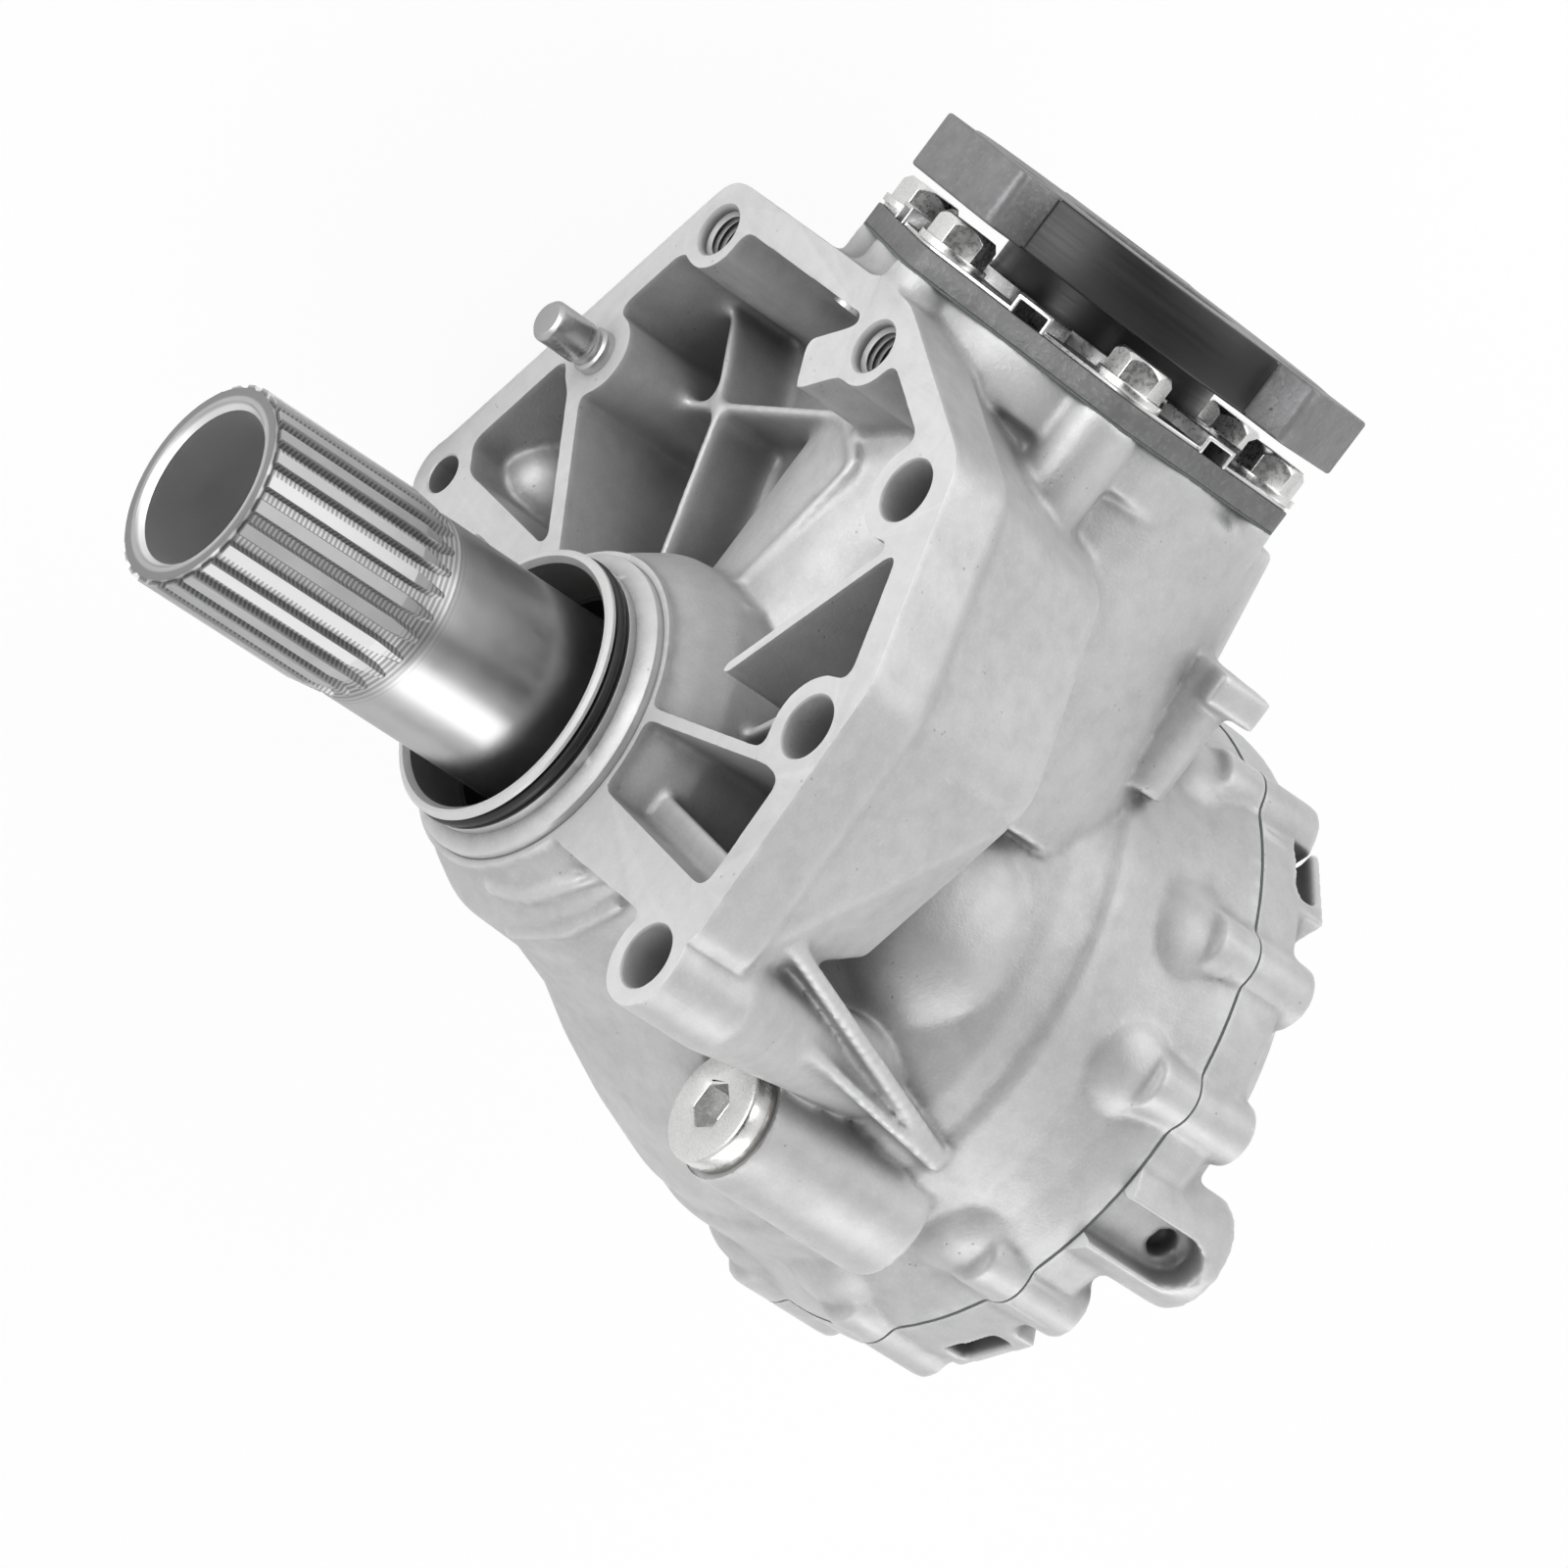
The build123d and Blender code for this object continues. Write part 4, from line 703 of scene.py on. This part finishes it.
def bell():
    """The mounting band and the bell behind it, with its pockets."""
    mesh = bmesh.new()
    face = outline(FACE_CORNERS, FACE_RADII)
    loft(mesh, face, -16, face, 1.6)
    shoulder = outline(inset(FACE_CORNERS, 1.2), [max(0.5, radius - 0.6) for radius in FACE_RADII])
    foot = outline(FOOT_CORNERS, [max(0.5, radius - 2) for radius in FACE_RADII])
    loft(mesh, foot, -56, shoulder, -15)
    rod(mesh, 0.048, (0.02, PINION_Y, 0), (BARREL_END_X + MM, PINION_Y, 0), 128)
    rod(mesh, 0.051, (BARREL_END_X - 0.012, PINION_Y, 0), (BARREL_END_X + MM, PINION_Y, 0), 128)
    turned(mesh, scaled(((40, 0), (40, 62), (119, 49), (119, 0))), AXIS_X, Vector((0, -0.0695, 0)), 128)
    for angle in RETAINER_BOLT_ANGLES:
        y, z = PINION_Y + RETAINER_BOLT_CIRCLE * cos(radians(angle)), RETAINER_BOLT_CIRCLE * sin(radians(angle))
        rod(mesh, 0.0088, (BARREL_END_X - 0.064, y, z), (BARREL_END_X + MM, y, z))
        ball(mesh, Vector((BARREL_END_X - 0.064, y, z)), (0.0088, 0.0088, 0.0088))
    x, z = BOLT_HOLES[2][0] / MM, BOLT_HOLES[2][1] / MM
    post(mesh, 11.7, (x, z), -22, 1.6)
    ring = [(sin(2 * pi * n / 32), cos(2 * pi * n / 32)) for n in range(32)]
    loft(mesh, [((x + a * 10) * MM, (z - 30 + b * 10) * MM) for a, b in ring], -86,
         [((x + a * 11.7) * MM, (z + b * 11.7) * MM) for a, b in ring], -21)
    place = (SMALL_HOLE[0] / MM, SMALL_HOLE[1] / MM)
    post(mesh, 9.9, place, -16, 1.6)
    wall(mesh, place, (place[0] * 0.72, place[1] * 0.72), 17.5, -16, 1.6)
    thing = remeshed("bell", mesh, 0)
    upper = pocket(MACHINED_RIBS, 38, -18, 5)
    lower = pocket(MACHINED_RIBS + CAST_RIBS, 43, -38, -17)
    mesh = bmesh.new()
    for part in (upper, lower):
        mesh.from_mesh(part.data)
        bpy.data.objects.remove(part)
    space = remeshed("pocket", mesh, POCKET_SMOOTHING)
    modify(space, "DISPLACE", strength=POCKET_SWELL, mid_level=0.0)
    cut(thing, modify(space, "REMESH", mode="VOXEL", voxel_size=VOXEL, adaptivity=0.0))
    return thing


def blades():
    """The two tapered blades under the corner of the mounting face."""
    mesh = bmesh.new()
    loft(mesh, oblong(-27, 62, 5, 21), -106, oblong(-5, 68, 20, 60), -10)
    thing = as_object("blades", mesh)
    return subtract(thing, "groove", lambda mesh: loft(
        mesh, oblong(-25, 86, 1, 24), -94, oblong(-5, 103, 12, 26), -9))


def transfer_case():
    """The case: a cast skin with soft edges, and crisp machined faces, holes and spigot."""
    mesh = bmesh.new()
    for part in (bell(), blades()):
        mesh.from_mesh(part.data)
        bpy.data.objects.remove(part)
    turned(mesh, scaled(DRUM_PROFILE), AXIS_Y, Vector((0, 0, 0)), 160)
    rod(mesh, 0.0365, (0.02, PINION_Y, 0), (BARREL_END_X, PINION_Y, 0), 96)
    for place in POSTS:
        post(mesh, 2.6, place, -40, -18)
    ball(mesh, Vector((0.031, -0.028, -0.086)), (0.013, 0.018, 0.013))
    for ridge in SPIGOT_RIDGES:
        for start, end in zip(ridge, ridge[1:]):
            rod(mesh, 0.0017, Vector(start) * MM, Vector(end) * MM, 16)
            ball(mesh, Vector(end) * MM, (0.0017, 0.0017, 0.0017))
    ball(mesh, Vector((0.009, -0.084, 0.037)), (0.034, 0.034, 0.034))
    for angle in COVER_BOLT_ANGLES:
        x, z = cos(radians(angle)), sin(radians(angle))
        post(mesh, 7.8, (x * 76.5, z * 76.5), -144, -130.7, 40)
        ball(mesh, Vector((x * 0.065, -0.1293, z * 0.065)), (0.016, 0.016, 0.016))
    post(mesh, 15, (PLUG[0] / MM, PLUG[1] / MM), -113, PLUG_FACE_Y / MM + 1)
    rod(mesh, 0.015, (0, DRAIN_Y, DRAIN_FACE_Z - 0.0008), (0, DRAIN_Y, -0.06))
    rod(mesh, 0.007, (0.062, -0.104, 0.046), (0.094, -0.104, 0.046))
    block(mesh, Vector((0.090, -0.106, 0.052)), (0.008, 0.015, 0.009))
    thing = remeshed("transfer_case_dressed", mesh, 0)
    subtract(thing, "gear space", lambda mesh: turned(mesh, scaled(DRUM_INSIDE), AXIS_Y, Vector((0, 0, 0)), 96))
    subtract(thing, "pinion space", lambda mesh: turned(
        mesh, scaled(PINION_INSIDE), AXIS_X, Vector((0, PINION_Y, 0)), 96))
    thing = modify(thing, "REMESH", mode="VOXEL", voxel_size=VOXEL, adaptivity=0.0)
    modify(thing, "SMOOTH", factor=0.5, iterations=CAST_SMOOTHING)
    thin(thing, CASE_TRIANGLES)
    thing.data.materials.clear()
    thing.data.materials.append(CAST)

    # The mounting face, cut flat all round the spigot
    mesh = bmesh.new()
    block(mesh, Vector((0.03, 0.01, 0)), (0.3, 0.02, 0.3))
    slab = as_object("slab", mesh)
    subtract(slab, "core", lambda mesh: rod(mesh, 0.0363, (0, -0.01, 0), (0, 0.03, 0), 160))
    slab.data.materials.append(MACHINED)
    cut(thing, slab)

    # The spigot's cast end comes off, and the drum is faced at the cover joint
    machine(thing, lambda mesh: (
        rod(mesh, 0.0366, (0, -0.0035, 0), (0, 0.02, 0), 160),
        block(mesh, Vector((0, DRUM_JOINT_Y - 0.02, 0)), (0.3, 0.04, 0.3)),
        block(mesh, Vector((BARREL_END_X + 0.01, PINION_Y, 0)), (0.02, 0.14, 0.14))))
    machine(thing, lambda mesh: turned(
        mesh, [(-0.0155, 0), (-0.0155, 0.0312), (0.02, 0.0312), (0.02, 0)], AXIS_Y, Vector((0, 0, 0)), 128))
    machine(thing, machined_holes)
    machine(thing, lambda mesh: (
        turned(mesh, scaled(((PLUG_FACE_Y / MM, 0), (PLUG_FACE_Y / MM, 14.6), (-40, 14.6), (-40, 0))), AXIS_Y,
               Vector((PLUG[0], 0, PLUG[1])), 64),
        rod(mesh, 0.0146, (0, DRAIN_Y, DRAIN_FACE_Z - 0.012), (0, DRAIN_Y, DRAIN_FACE_Z))))
    machine(thing, lambda mesh: (
        post(mesh, 11.05, (PLUG[0] / MM, PLUG[1] / MM), -95, PLUG_FACE_Y / MM + 1),
        rod(mesh, 0.01105, (0, DRAIN_Y, DRAIN_FACE_Z - 0.001), (0, DRAIN_Y, -0.060))))
    return thing


def machine(thing, fill):
    """A cut that leaves a bright machined face."""
    mesh = bmesh.new()
    fill(mesh)
    cutter = as_object("cutter", mesh)
    cutter.data.materials.append(MACHINED)
    return cut(thing, cutter)


def machined_holes(mesh):
    """The holes of the mounting face, with their countersinks and threads."""
    for (x, z), depth in zip(BOLT_HOLES, BOLT_HOLE_DEPTHS):
        profile = [(-depth, 0), (-depth, 0.00725), (-0.0006, 0.00725), (0.001, 0.0085), (0.004, 0.0085), (0.004, 0)]
        turned(mesh, profile, AXIS_Y, Vector((x, 0, z)), 64)
    x, z = SMALL_HOLE
    turned(mesh, [(-0.0175, 0), (-0.0175, 0.00475), (-0.0004, 0.00475), (0.001, 0.006), (0.004, 0.006), (0.004, 0)],
           AXIS_Y, Vector((x, 0, z)), 64)
    for x, z in TAPPED_HOLES:
        profile = [(-0.024, 0), (-0.024, 0.0051)]
        along = -0.0225
        while along < -0.0015:
            profile += [(along, 0.0051), (along + 0.0008, 0.0060), (along + 0.00095, 0.0060)]
            along += 0.00175
        profile += [(-0.0008, 0.0060), (0.001, 0.0074), (0.004, 0.0074), (0.004, 0)]
        turned(mesh, profile, AXIS_Y, Vector((x, 0, z)), 48)


def spigot():
    """The turned spigot with its ring groove and shoulder."""
    mesh = bmesh.new()
    profile = [
        (-0.0050, 0.0362), (-0.0030, 0.0365), (0.0019, 0.0365), (0.0025, 0.0359), (0.0034, 0.0340), (0.0040, 0.0325),
        (0.0060, 0.0325), (0.0061, 0.0324), (0.0062, 0.0301), (0.0102, 0.0301), (0.0103, 0.0324), (0.0104, 0.0325),
        (0.0112, 0.0325), (0.0120, 0.0317), (0.0120, 0.0307), (0.0108, 0.0295), (-0.0130, 0.0295),
        (-0.0130, 0.0265), (-0.0160, 0.0265), (-0.0160, 0.0362),
    ]
    turned(mesh, profile + [profile[0]], AXIS_Y, Vector((0, 0, 0)), 160)
    bmesh.ops.remove_doubles(mesh, verts=mesh.verts, dist=1e-7)
    return as_object("spigot", mesh)


def join(first, second):
    """Two finished meshes as one object, each keeping its own material."""
    mesh = bmesh.new()
    slots = []
    for thing in (first, second):
        names = list(thing.data.materials)
        start = len(mesh.faces)
        mesh.from_mesh(thing.data)
        mesh.faces.ensure_lookup_table()
        for face in mesh.faces[start:]:
            material = names[face.material_index] if names else None
            if material not in slots:
                slots.append(material)
            face.material_index = slots.index(material)
    mesh.to_mesh(first.data)
    mesh.free()
    first.data.materials.clear()
    for material in slots:
        first.data.materials.append(material)
    bpy.data.objects.remove(second)


case = transfer_case()
ring = spigot()
ring.data.materials.append(TURNED_ALUMINIUM)
join(case, ring)
finish_piece(case, "housing", ["transfer_case"], smooth=40)


def transfer_cover():
    """The dished cover with its bolt bosses, lug and seal neck."""
    mesh = bmesh.new()
    turned(mesh, scaled(COVER_PROFILE), AXIS_Y, Vector((0, 0, 0)), 160)
    for angle in COVER_BOLT_ANGLES:
        place = (76.5 * cos(radians(angle)), 76.5 * sin(radians(angle)))
        post(mesh, 7.9, place, -161.1, -141, 48)
    lug = Vector((cos(radians(LUG_ANGLE)), 0, sin(radians(LUG_ANGLE))))
    post(mesh, 14, (lug.x * 73, lug.z * 73), -174, -141)
    for angle in WINDOW_ANGLES:
        turn = Matrix.Rotation(-radians(angle), 4, "Y")
        block(mesh, turn @ Vector((0.0705, -0.1555, 0)), (0.019, 0.016, 0.024), turn)
    thing = as_object("transfer_cover_dressed", mesh)
    modify(thing, "REMESH", mode="VOXEL", voxel_size=VOXEL, adaptivity=0.0)
    for angle in WINDOW_ANGLES:
        turn = Matrix.Rotation(-radians(angle), 4, "Y")
        subtract(thing, "window", lambda mesh: block(
            mesh, turn @ Vector((0.080, -0.1572, 0)), (0.012, 0.0066, 0.0155), turn))
    turn = Matrix.Rotation(-radians(LUG_ANGLE), 4, "Y")
    subtract(thing, "slot", lambda mesh: block(
        mesh, lug * 0.088 + Vector((0, -0.152, 0)), (0.020, 0.022, 0.013), turn))
    subtract(thing, "slot end", lambda mesh: rod(
        mesh, 0.0065, lug * 0.078 + Vector((0, -0.163, 0)), lug * 0.098 + Vector((0, -0.163, 0))))
    subtract(thing, "eye", lambda mesh: rod(
        mesh, 0.0036, lug * 0.072 + Vector((0, -0.163, 0)), lug * 0.090 + Vector((0, -0.163, 0))))
    subtract(thing, "room", cover_room)
    subtract(thing, "bore", lambda mesh: turned(mesh, scaled(COVER_BORE), AXIS_Y, Vector((0, 0, 0)), 96))
    modify(thing, "REMESH", mode="VOXEL", voxel_size=VOXEL, adaptivity=0.0)
    modify(thing, "SMOOTH", factor=0.5, iterations=CAST_SMOOTHING)
    thin(thing, COVER_TRIANGLES)
    thing.data.materials.clear()
    thing.data.materials.append(CAST)
    machine(thing, lambda mesh: block(mesh, Vector((0, COVER_TOP_Y + 0.02, 0)), (0.3, 0.04, 0.3)))
    machine(thing, cover_screw_seats)
    return thing


def cover_room(mesh):
    """The space of the cover round its seal neck."""
    turned(mesh, scaled(COVER_INSIDE + COVER_INSIDE[:1]), AXIS_Y, Vector((0, 0, 0)), 96)
    bmesh.ops.remove_doubles(mesh, verts=mesh.verts, dist=1e-7)


def cover_screw_seats(mesh):
    """The bright ends of the cover's bosses and the sunk seats of its screws."""
    for angle in COVER_BOLT_ANGLES:
        x, z = COVER_BOLT_CIRCLE * cos(radians(angle)), COVER_BOLT_CIRCLE * sin(radians(angle))
        profile = [(COUNTERBORE_FLOOR_Y, 0), (COUNTERBORE_FLOOR_Y, 0.0054), (COVER_BOSS_END_Y + 0.0003, 0.0054),
                   (COVER_BOSS_END_Y, 0.0057), (COVER_BOSS_END_Y, 0.0088), (COVER_BOSS_END_Y - 0.005, 0.0088),
                   (COVER_BOSS_END_Y - 0.005, 0)]
        turned(mesh, profile, AXIS_Y, Vector((x, 0, z)), 48)


def gasket():
    """The thin gasket between case and cover, with an ear round each screw."""
    mesh = bmesh.new()
    ring = ((-142.6, 69.6), (-142.6, 80.8), (-142, 80.8), (-142, 69.6), (-142.6, 69.6))
    turned(mesh, scaled(ring), AXIS_Y, Vector((0, 0, 0)), 160)
    bmesh.ops.remove_doubles(mesh, verts=mesh.verts, dist=1e-7)
    thing = as_object("cover_gasket_dressed", mesh)
    for angle in COVER_BOLT_ANGLES:
        ear = bmesh.new()
        post(ear, 7.6, (76.5 * cos(radians(angle)), 76.5 * sin(radians(angle))), -142.6, -142, 40)
        cut(thing, as_object("ear", ear), "UNION")
    return thing


def o_ring():
    """The rubber ring in the groove of the spigot."""
    mesh = bmesh.new()
    section = [(0.0082 + 0.00145 * sin(2 * pi * n / 16), 0.0314 + 0.00145 * cos(2 * pi * n / 16)) for n in range(17)]
    turned(mesh, section, AXIS_Y, Vector((0, 0, 0)), 128)
    bmesh.ops.remove_doubles(mesh, verts=mesh.verts, dist=1e-7)
    return as_object("o_ring_dressed", mesh)


finish_piece(o_ring(), "housing", ["spigot_o_ring"], RUBBER, smooth=60)
finish_piece(gasket(), "housing", ["cover_gasket"], GASKET)
cover = transfer_cover()
finish_piece(cover, "housing", ["transfer_cover"], smooth=40)


# The screws of the cover, set out by geometry nodes

def socket_screw():
    """One socket screw along Y, with the end of its head at the origin."""
    mesh = bmesh.new()
    head = [(0.0, 0), (0.0, 0.0046), (0.0004, 0.0050), (0.006, 0.0050), (0.006, 0.003), (0.0115, 0.003),
            (0.0115, 0)]
    turned(mesh, head, AXIS_Y, Vector((0, 0, 0)), 36)
    thing = as_object("socket screw", mesh)
    return subtract(thing, "socket", lambda mesh: rod(mesh, 0.0029, (0, -0.002, 0), (0, 0.003, 0), 6))


def scatter_tree(name):
    """A node tree that sets copies of one piece on the points of a mesh."""
    tree = bpy.data.node_groups.new(name, "GeometryNodeTree")
    tree.interface.new_socket("Geometry", in_out="INPUT", socket_type="NodeSocketGeometry")
    for label, kind in (("Piece", "NodeSocketObject"), ("Size", "NodeSocketFloat"), ("Spread", "NodeSocketFloat"),
                        ("Material", "NodeSocketMaterial")):
        tree.interface.new_socket(label, in_out="INPUT", socket_type=kind)
    tree.interface.new_socket("Geometry", in_out="OUTPUT", socket_type="NodeSocketGeometry")
    start, end = tree.nodes.new("NodeGroupInput"), tree.nodes.new("NodeGroupOutput")
    source = tree.nodes.new("GeometryNodeObjectInfo")
    copies = tree.nodes.new("GeometryNodeInstanceOnPoints")
    turn = tree.nodes.new("FunctionNodeRandomValue")
    turn.data_type = "FLOAT_VECTOR"
    angles = tree.nodes.new("ShaderNodeVectorMath")
    angles.operation = "SCALE"
    real = tree.nodes.new("GeometryNodeRealizeInstances")
    paint = tree.nodes.new("GeometryNodeSetMaterial")
    turn.inputs["Seed"].default_value = 7
    turn.inputs["Min"].default_value = (0, -1, 0)
    turn.inputs["Max"].default_value = (0, 1, 0)
    link = tree.links.new
    link(start.outputs["Geometry"], copies.inputs["Points"])
    link(start.outputs["Piece"], source.inputs["Object"])
    link(source.outputs["Geometry"], copies.inputs["Instance"])
    link(start.outputs["Size"], copies.inputs["Scale"])
    link(turn.outputs["Value"], angles.inputs[0])
    link(start.outputs["Spread"], angles.inputs["Scale"])
    link(angles.outputs["Vector"], copies.inputs["Rotation"])
    link(copies.outputs["Instances"], real.inputs["Geometry"])
    link(real.outputs["Geometry"], paint.inputs["Geometry"])
    link(start.outputs["Material"], paint.inputs["Material"])
    link(paint.outputs["Geometry"], end.inputs["Geometry"])
    return tree


def scattered(name, places, item, material, spread):
    """Copies of one piece at the given places, as one plain mesh."""
    data = bpy.data.meshes.new(name)
    data.from_pydata(places, [], [])
    thing = bpy.data.objects.new(name, data)
    bpy.context.scene.collection.objects.link(thing)
    tree = scatter_tree(name + " places")
    modifier = thing.modifiers.new("places", "NODES")
    modifier.node_group = tree
    values = {"Piece": item, "Size": 1.0, "Spread": spread, "Material": material}
    for socket in tree.interface.items_tree:
        if socket.in_out == "INPUT" and socket.name in values:
            modifier[socket.identifier] = values[socket.name]
    settle(thing)
    bpy.data.objects.remove(item)
    return thing


places = [(COVER_BOLT_CIRCLE * cos(radians(angle)), COVER_BOSS_END_Y + 0.001, COVER_BOLT_CIRCLE * sin(radians(angle)))
          for angle in COVER_BOLT_ANGLES]
screws = scattered("cover_screws", places, socket_screw(), ZINC, 3.0)
finish_piece(screws, "housing", ["cover_bolts"])


# Hard pieces that keep their solid's form, with rounded edges

FLANGE_RIM = (0.047, 0.0484)
FLANGE_BACK_X = 0.142
flange = soften("output_flange", 0.0010, FORGED)
flange.data.materials.append(TURNED_DARK)
for face in flange.data.polygons:
    reach = Vector((face.center.y - PINION_Y, face.center.z))
    sideways = abs(Vector((face.normal.y, face.normal.z)).dot(reach.normalized()))
    rim = sideways > 0.9 and reach.length > FLANGE_RIM[0]
    if reach.length < FLANGE_RIM[1] and (rim or face.center.x < FLANGE_BACK_X):
        face.material_index = 1
soften("bearing_retainer", 0.0004, RETAINER)
soften("retainer_guard", 0.00025, GUARD)
soften("retainer_bolts", 0.0003, ZINC)
soften("filler_plug", 0.0003, ZINC)
soften("dowel_pin", 0.0002, GROUND_STEEL)

for node, material in {
    "retainer_gasket": GASKET, "input_seal": RUBBER, "far_end_seal": RUBBER, "pinion_seal": RUBBER,
    "front_bearing_shim": BEARING, "rear_bearing_shim": BEARING, "input_shaft": SHAFT, "ring_gear": GEAR_STEEL,
    "ring_gear_bolts": GEAR_STEEL, "drive_pinion": GEAR_STEEL, "pinion_spacer": GROUND_STEEL,
    "dust_deflector": TURNED_DARK, "pinion_washer": GROUND_STEEL, "pinion_nut": GROUND_STEEL,
    "filler_plug_gasket": SOFT_WASHER, "drain_plug": ZINC, "drain_plug_gasket": SOFT_WASHER,
    **{f"{name}_{part}": BEARING
       for name in ("front_shaft_bearing", "rear_shaft_bearing", "pinion_head_bearing", "pinion_tail_bearing")
       for part in ("cup", "cone", "rollers")},
}.items():
    dress(node, material)


# Stage, light and camera

CAMERA_RIGHT = Vector((0.5996, -0.691, 0.404)).normalized()
CAMERA_BACK = Vector((0.0906, 0.56, 0.824)).normalized()
LOOK_AT = Vector((0.0181, -0.0434, 0.0275))
CAMERA_DISTANCE = 1.871
DARK_SIDE = Vector((0.35, 0.25, 0.90)).normalized()


def make_camera():
    """The camera at the photograph's angle; returns the picture's right and up."""
    data = bpy.data.cameras.new("camera")
    data.lens = 200
    data.sensor_width = 36
    data.clip_end = 20
    camera = bpy.data.objects.new("camera", data)
    up = CAMERA_BACK.cross(CAMERA_RIGHT).normalized()
    right = up.cross(CAMERA_BACK)
    turn = Matrix((right, up, CAMERA_BACK)).transposed().to_4x4()
    camera.matrix_world = Matrix.Translation(LOOK_AT + CAMERA_BACK * CAMERA_DISTANCE) @ turn
    bpy.context.scene.collection.objects.link(camera)
    bpy.context.scene.camera = camera
    return right, up


def soft_box(name, direction, size, power, distance=0.9):
    """A square lamp that looks at the object."""
    data = bpy.data.lights.new(name, "AREA")
    data.shape = "RECTANGLE"
    data.size, data.size_y = size
    data.energy = power
    lamp = bpy.data.objects.new(name, data)
    lamp.location = LOOK_AT + direction.normalized() * distance
    lamp.rotation_mode = "QUATERNION"
    lamp.rotation_quaternion = direction.to_track_quat("Z", "Y")
    bpy.context.scene.collection.objects.link(lamp)


def make_world():
    """A pale room: bright above, with dim bands that give the metal its contrast."""
    world = bpy.data.worlds.new("studio")
    bpy.context.scene.world = world
    world.use_nodes = True
    tree = world.node_tree
    back = tree.nodes["Background"]
    place = tree.nodes.new("ShaderNodeTexCoord").outputs["Generated"]
    rays = tree.nodes.new("ShaderNodeLightPath")
    facing = tree.nodes.new("ShaderNodeVectorMath")
    facing.operation = "DOT_PRODUCT"
    tree.links.new(place, facing.inputs[0])
    facing.inputs[1].default_value = DARK_SIDE
    bands = math_node(tree, "ADD", facing.outputs["Value"],
                      math_node(tree, "MULTIPLY", noise(tree, place, 1.7, 1.0, 0.4), 0.3))
    tone = remap(tree, bands, 0.72, 1.02, 0.95, 0.10)
    seen = tree.nodes.new("ShaderNodeMix")
    seen.inputs[0].default_value = 0
    tree.links.new(rays.outputs["Is Camera Ray"], seen.inputs[0])
    tree.links.new(tone, seen.inputs[2])
    seen.inputs[3].default_value = 1.0
    tree.links.new(seen.outputs[0], back.inputs["Color"])
    back.inputs["Strength"].default_value = 0.85


def make_floor():
    """A plain white floor under the part."""
    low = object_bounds()[0]
    mesh = bmesh.new()
    bmesh.ops.create_grid(mesh, x_segments=1, y_segments=1, size=6.0,
                          matrix=Matrix.Translation((0, 0, low.z - 0.0002)))
    floor = as_object("floor", mesh)
    material = bpy.data.materials.new("white floor")
    material.use_nodes = True
    tree = material.node_tree
    shader = tree.nodes["Principled BSDF"]
    shader.inputs["Base Color"].default_value = (0.92, 0.92, 0.92, 1)
    shader.inputs["Roughness"].default_value = 0.9
    rays = tree.nodes.new("ShaderNodeLightPath")
    glow = tree.nodes.new("ShaderNodeEmission")
    glow.inputs["Strength"].default_value = 1.0
    mix = tree.nodes.new("ShaderNodeMixShader")
    share = math_node(tree, "MULTIPLY", rays.outputs["Is Camera Ray"], 0.93)
    tree.links.new(share, mix.inputs[0])
    tree.links.new(shader.outputs[0], mix.inputs[1])
    tree.links.new(glow.outputs[0], mix.inputs[2])
    tree.links.new(mix.outputs[0], tree.nodes["Material Output"].inputs["Surface"])
    floor.data.materials.append(material)


right, up = make_camera()
make_world()
make_floor()
soft_box("key", CAMERA_BACK * 0.8 - right * 0.9 + up * 0.9, (0.9, 0.9), 9)
soft_box("fill", CAMERA_BACK * 0.6 + right * 1.0 + up * 0.25, (0.8, 0.8), 4)
soft_box("rim", CAMERA_BACK * 0.15 - up * 1.0 + right * 0.2, (0.9, 0.5), 3)
bpy.context.scene.view_settings.view_transform = "Standard"
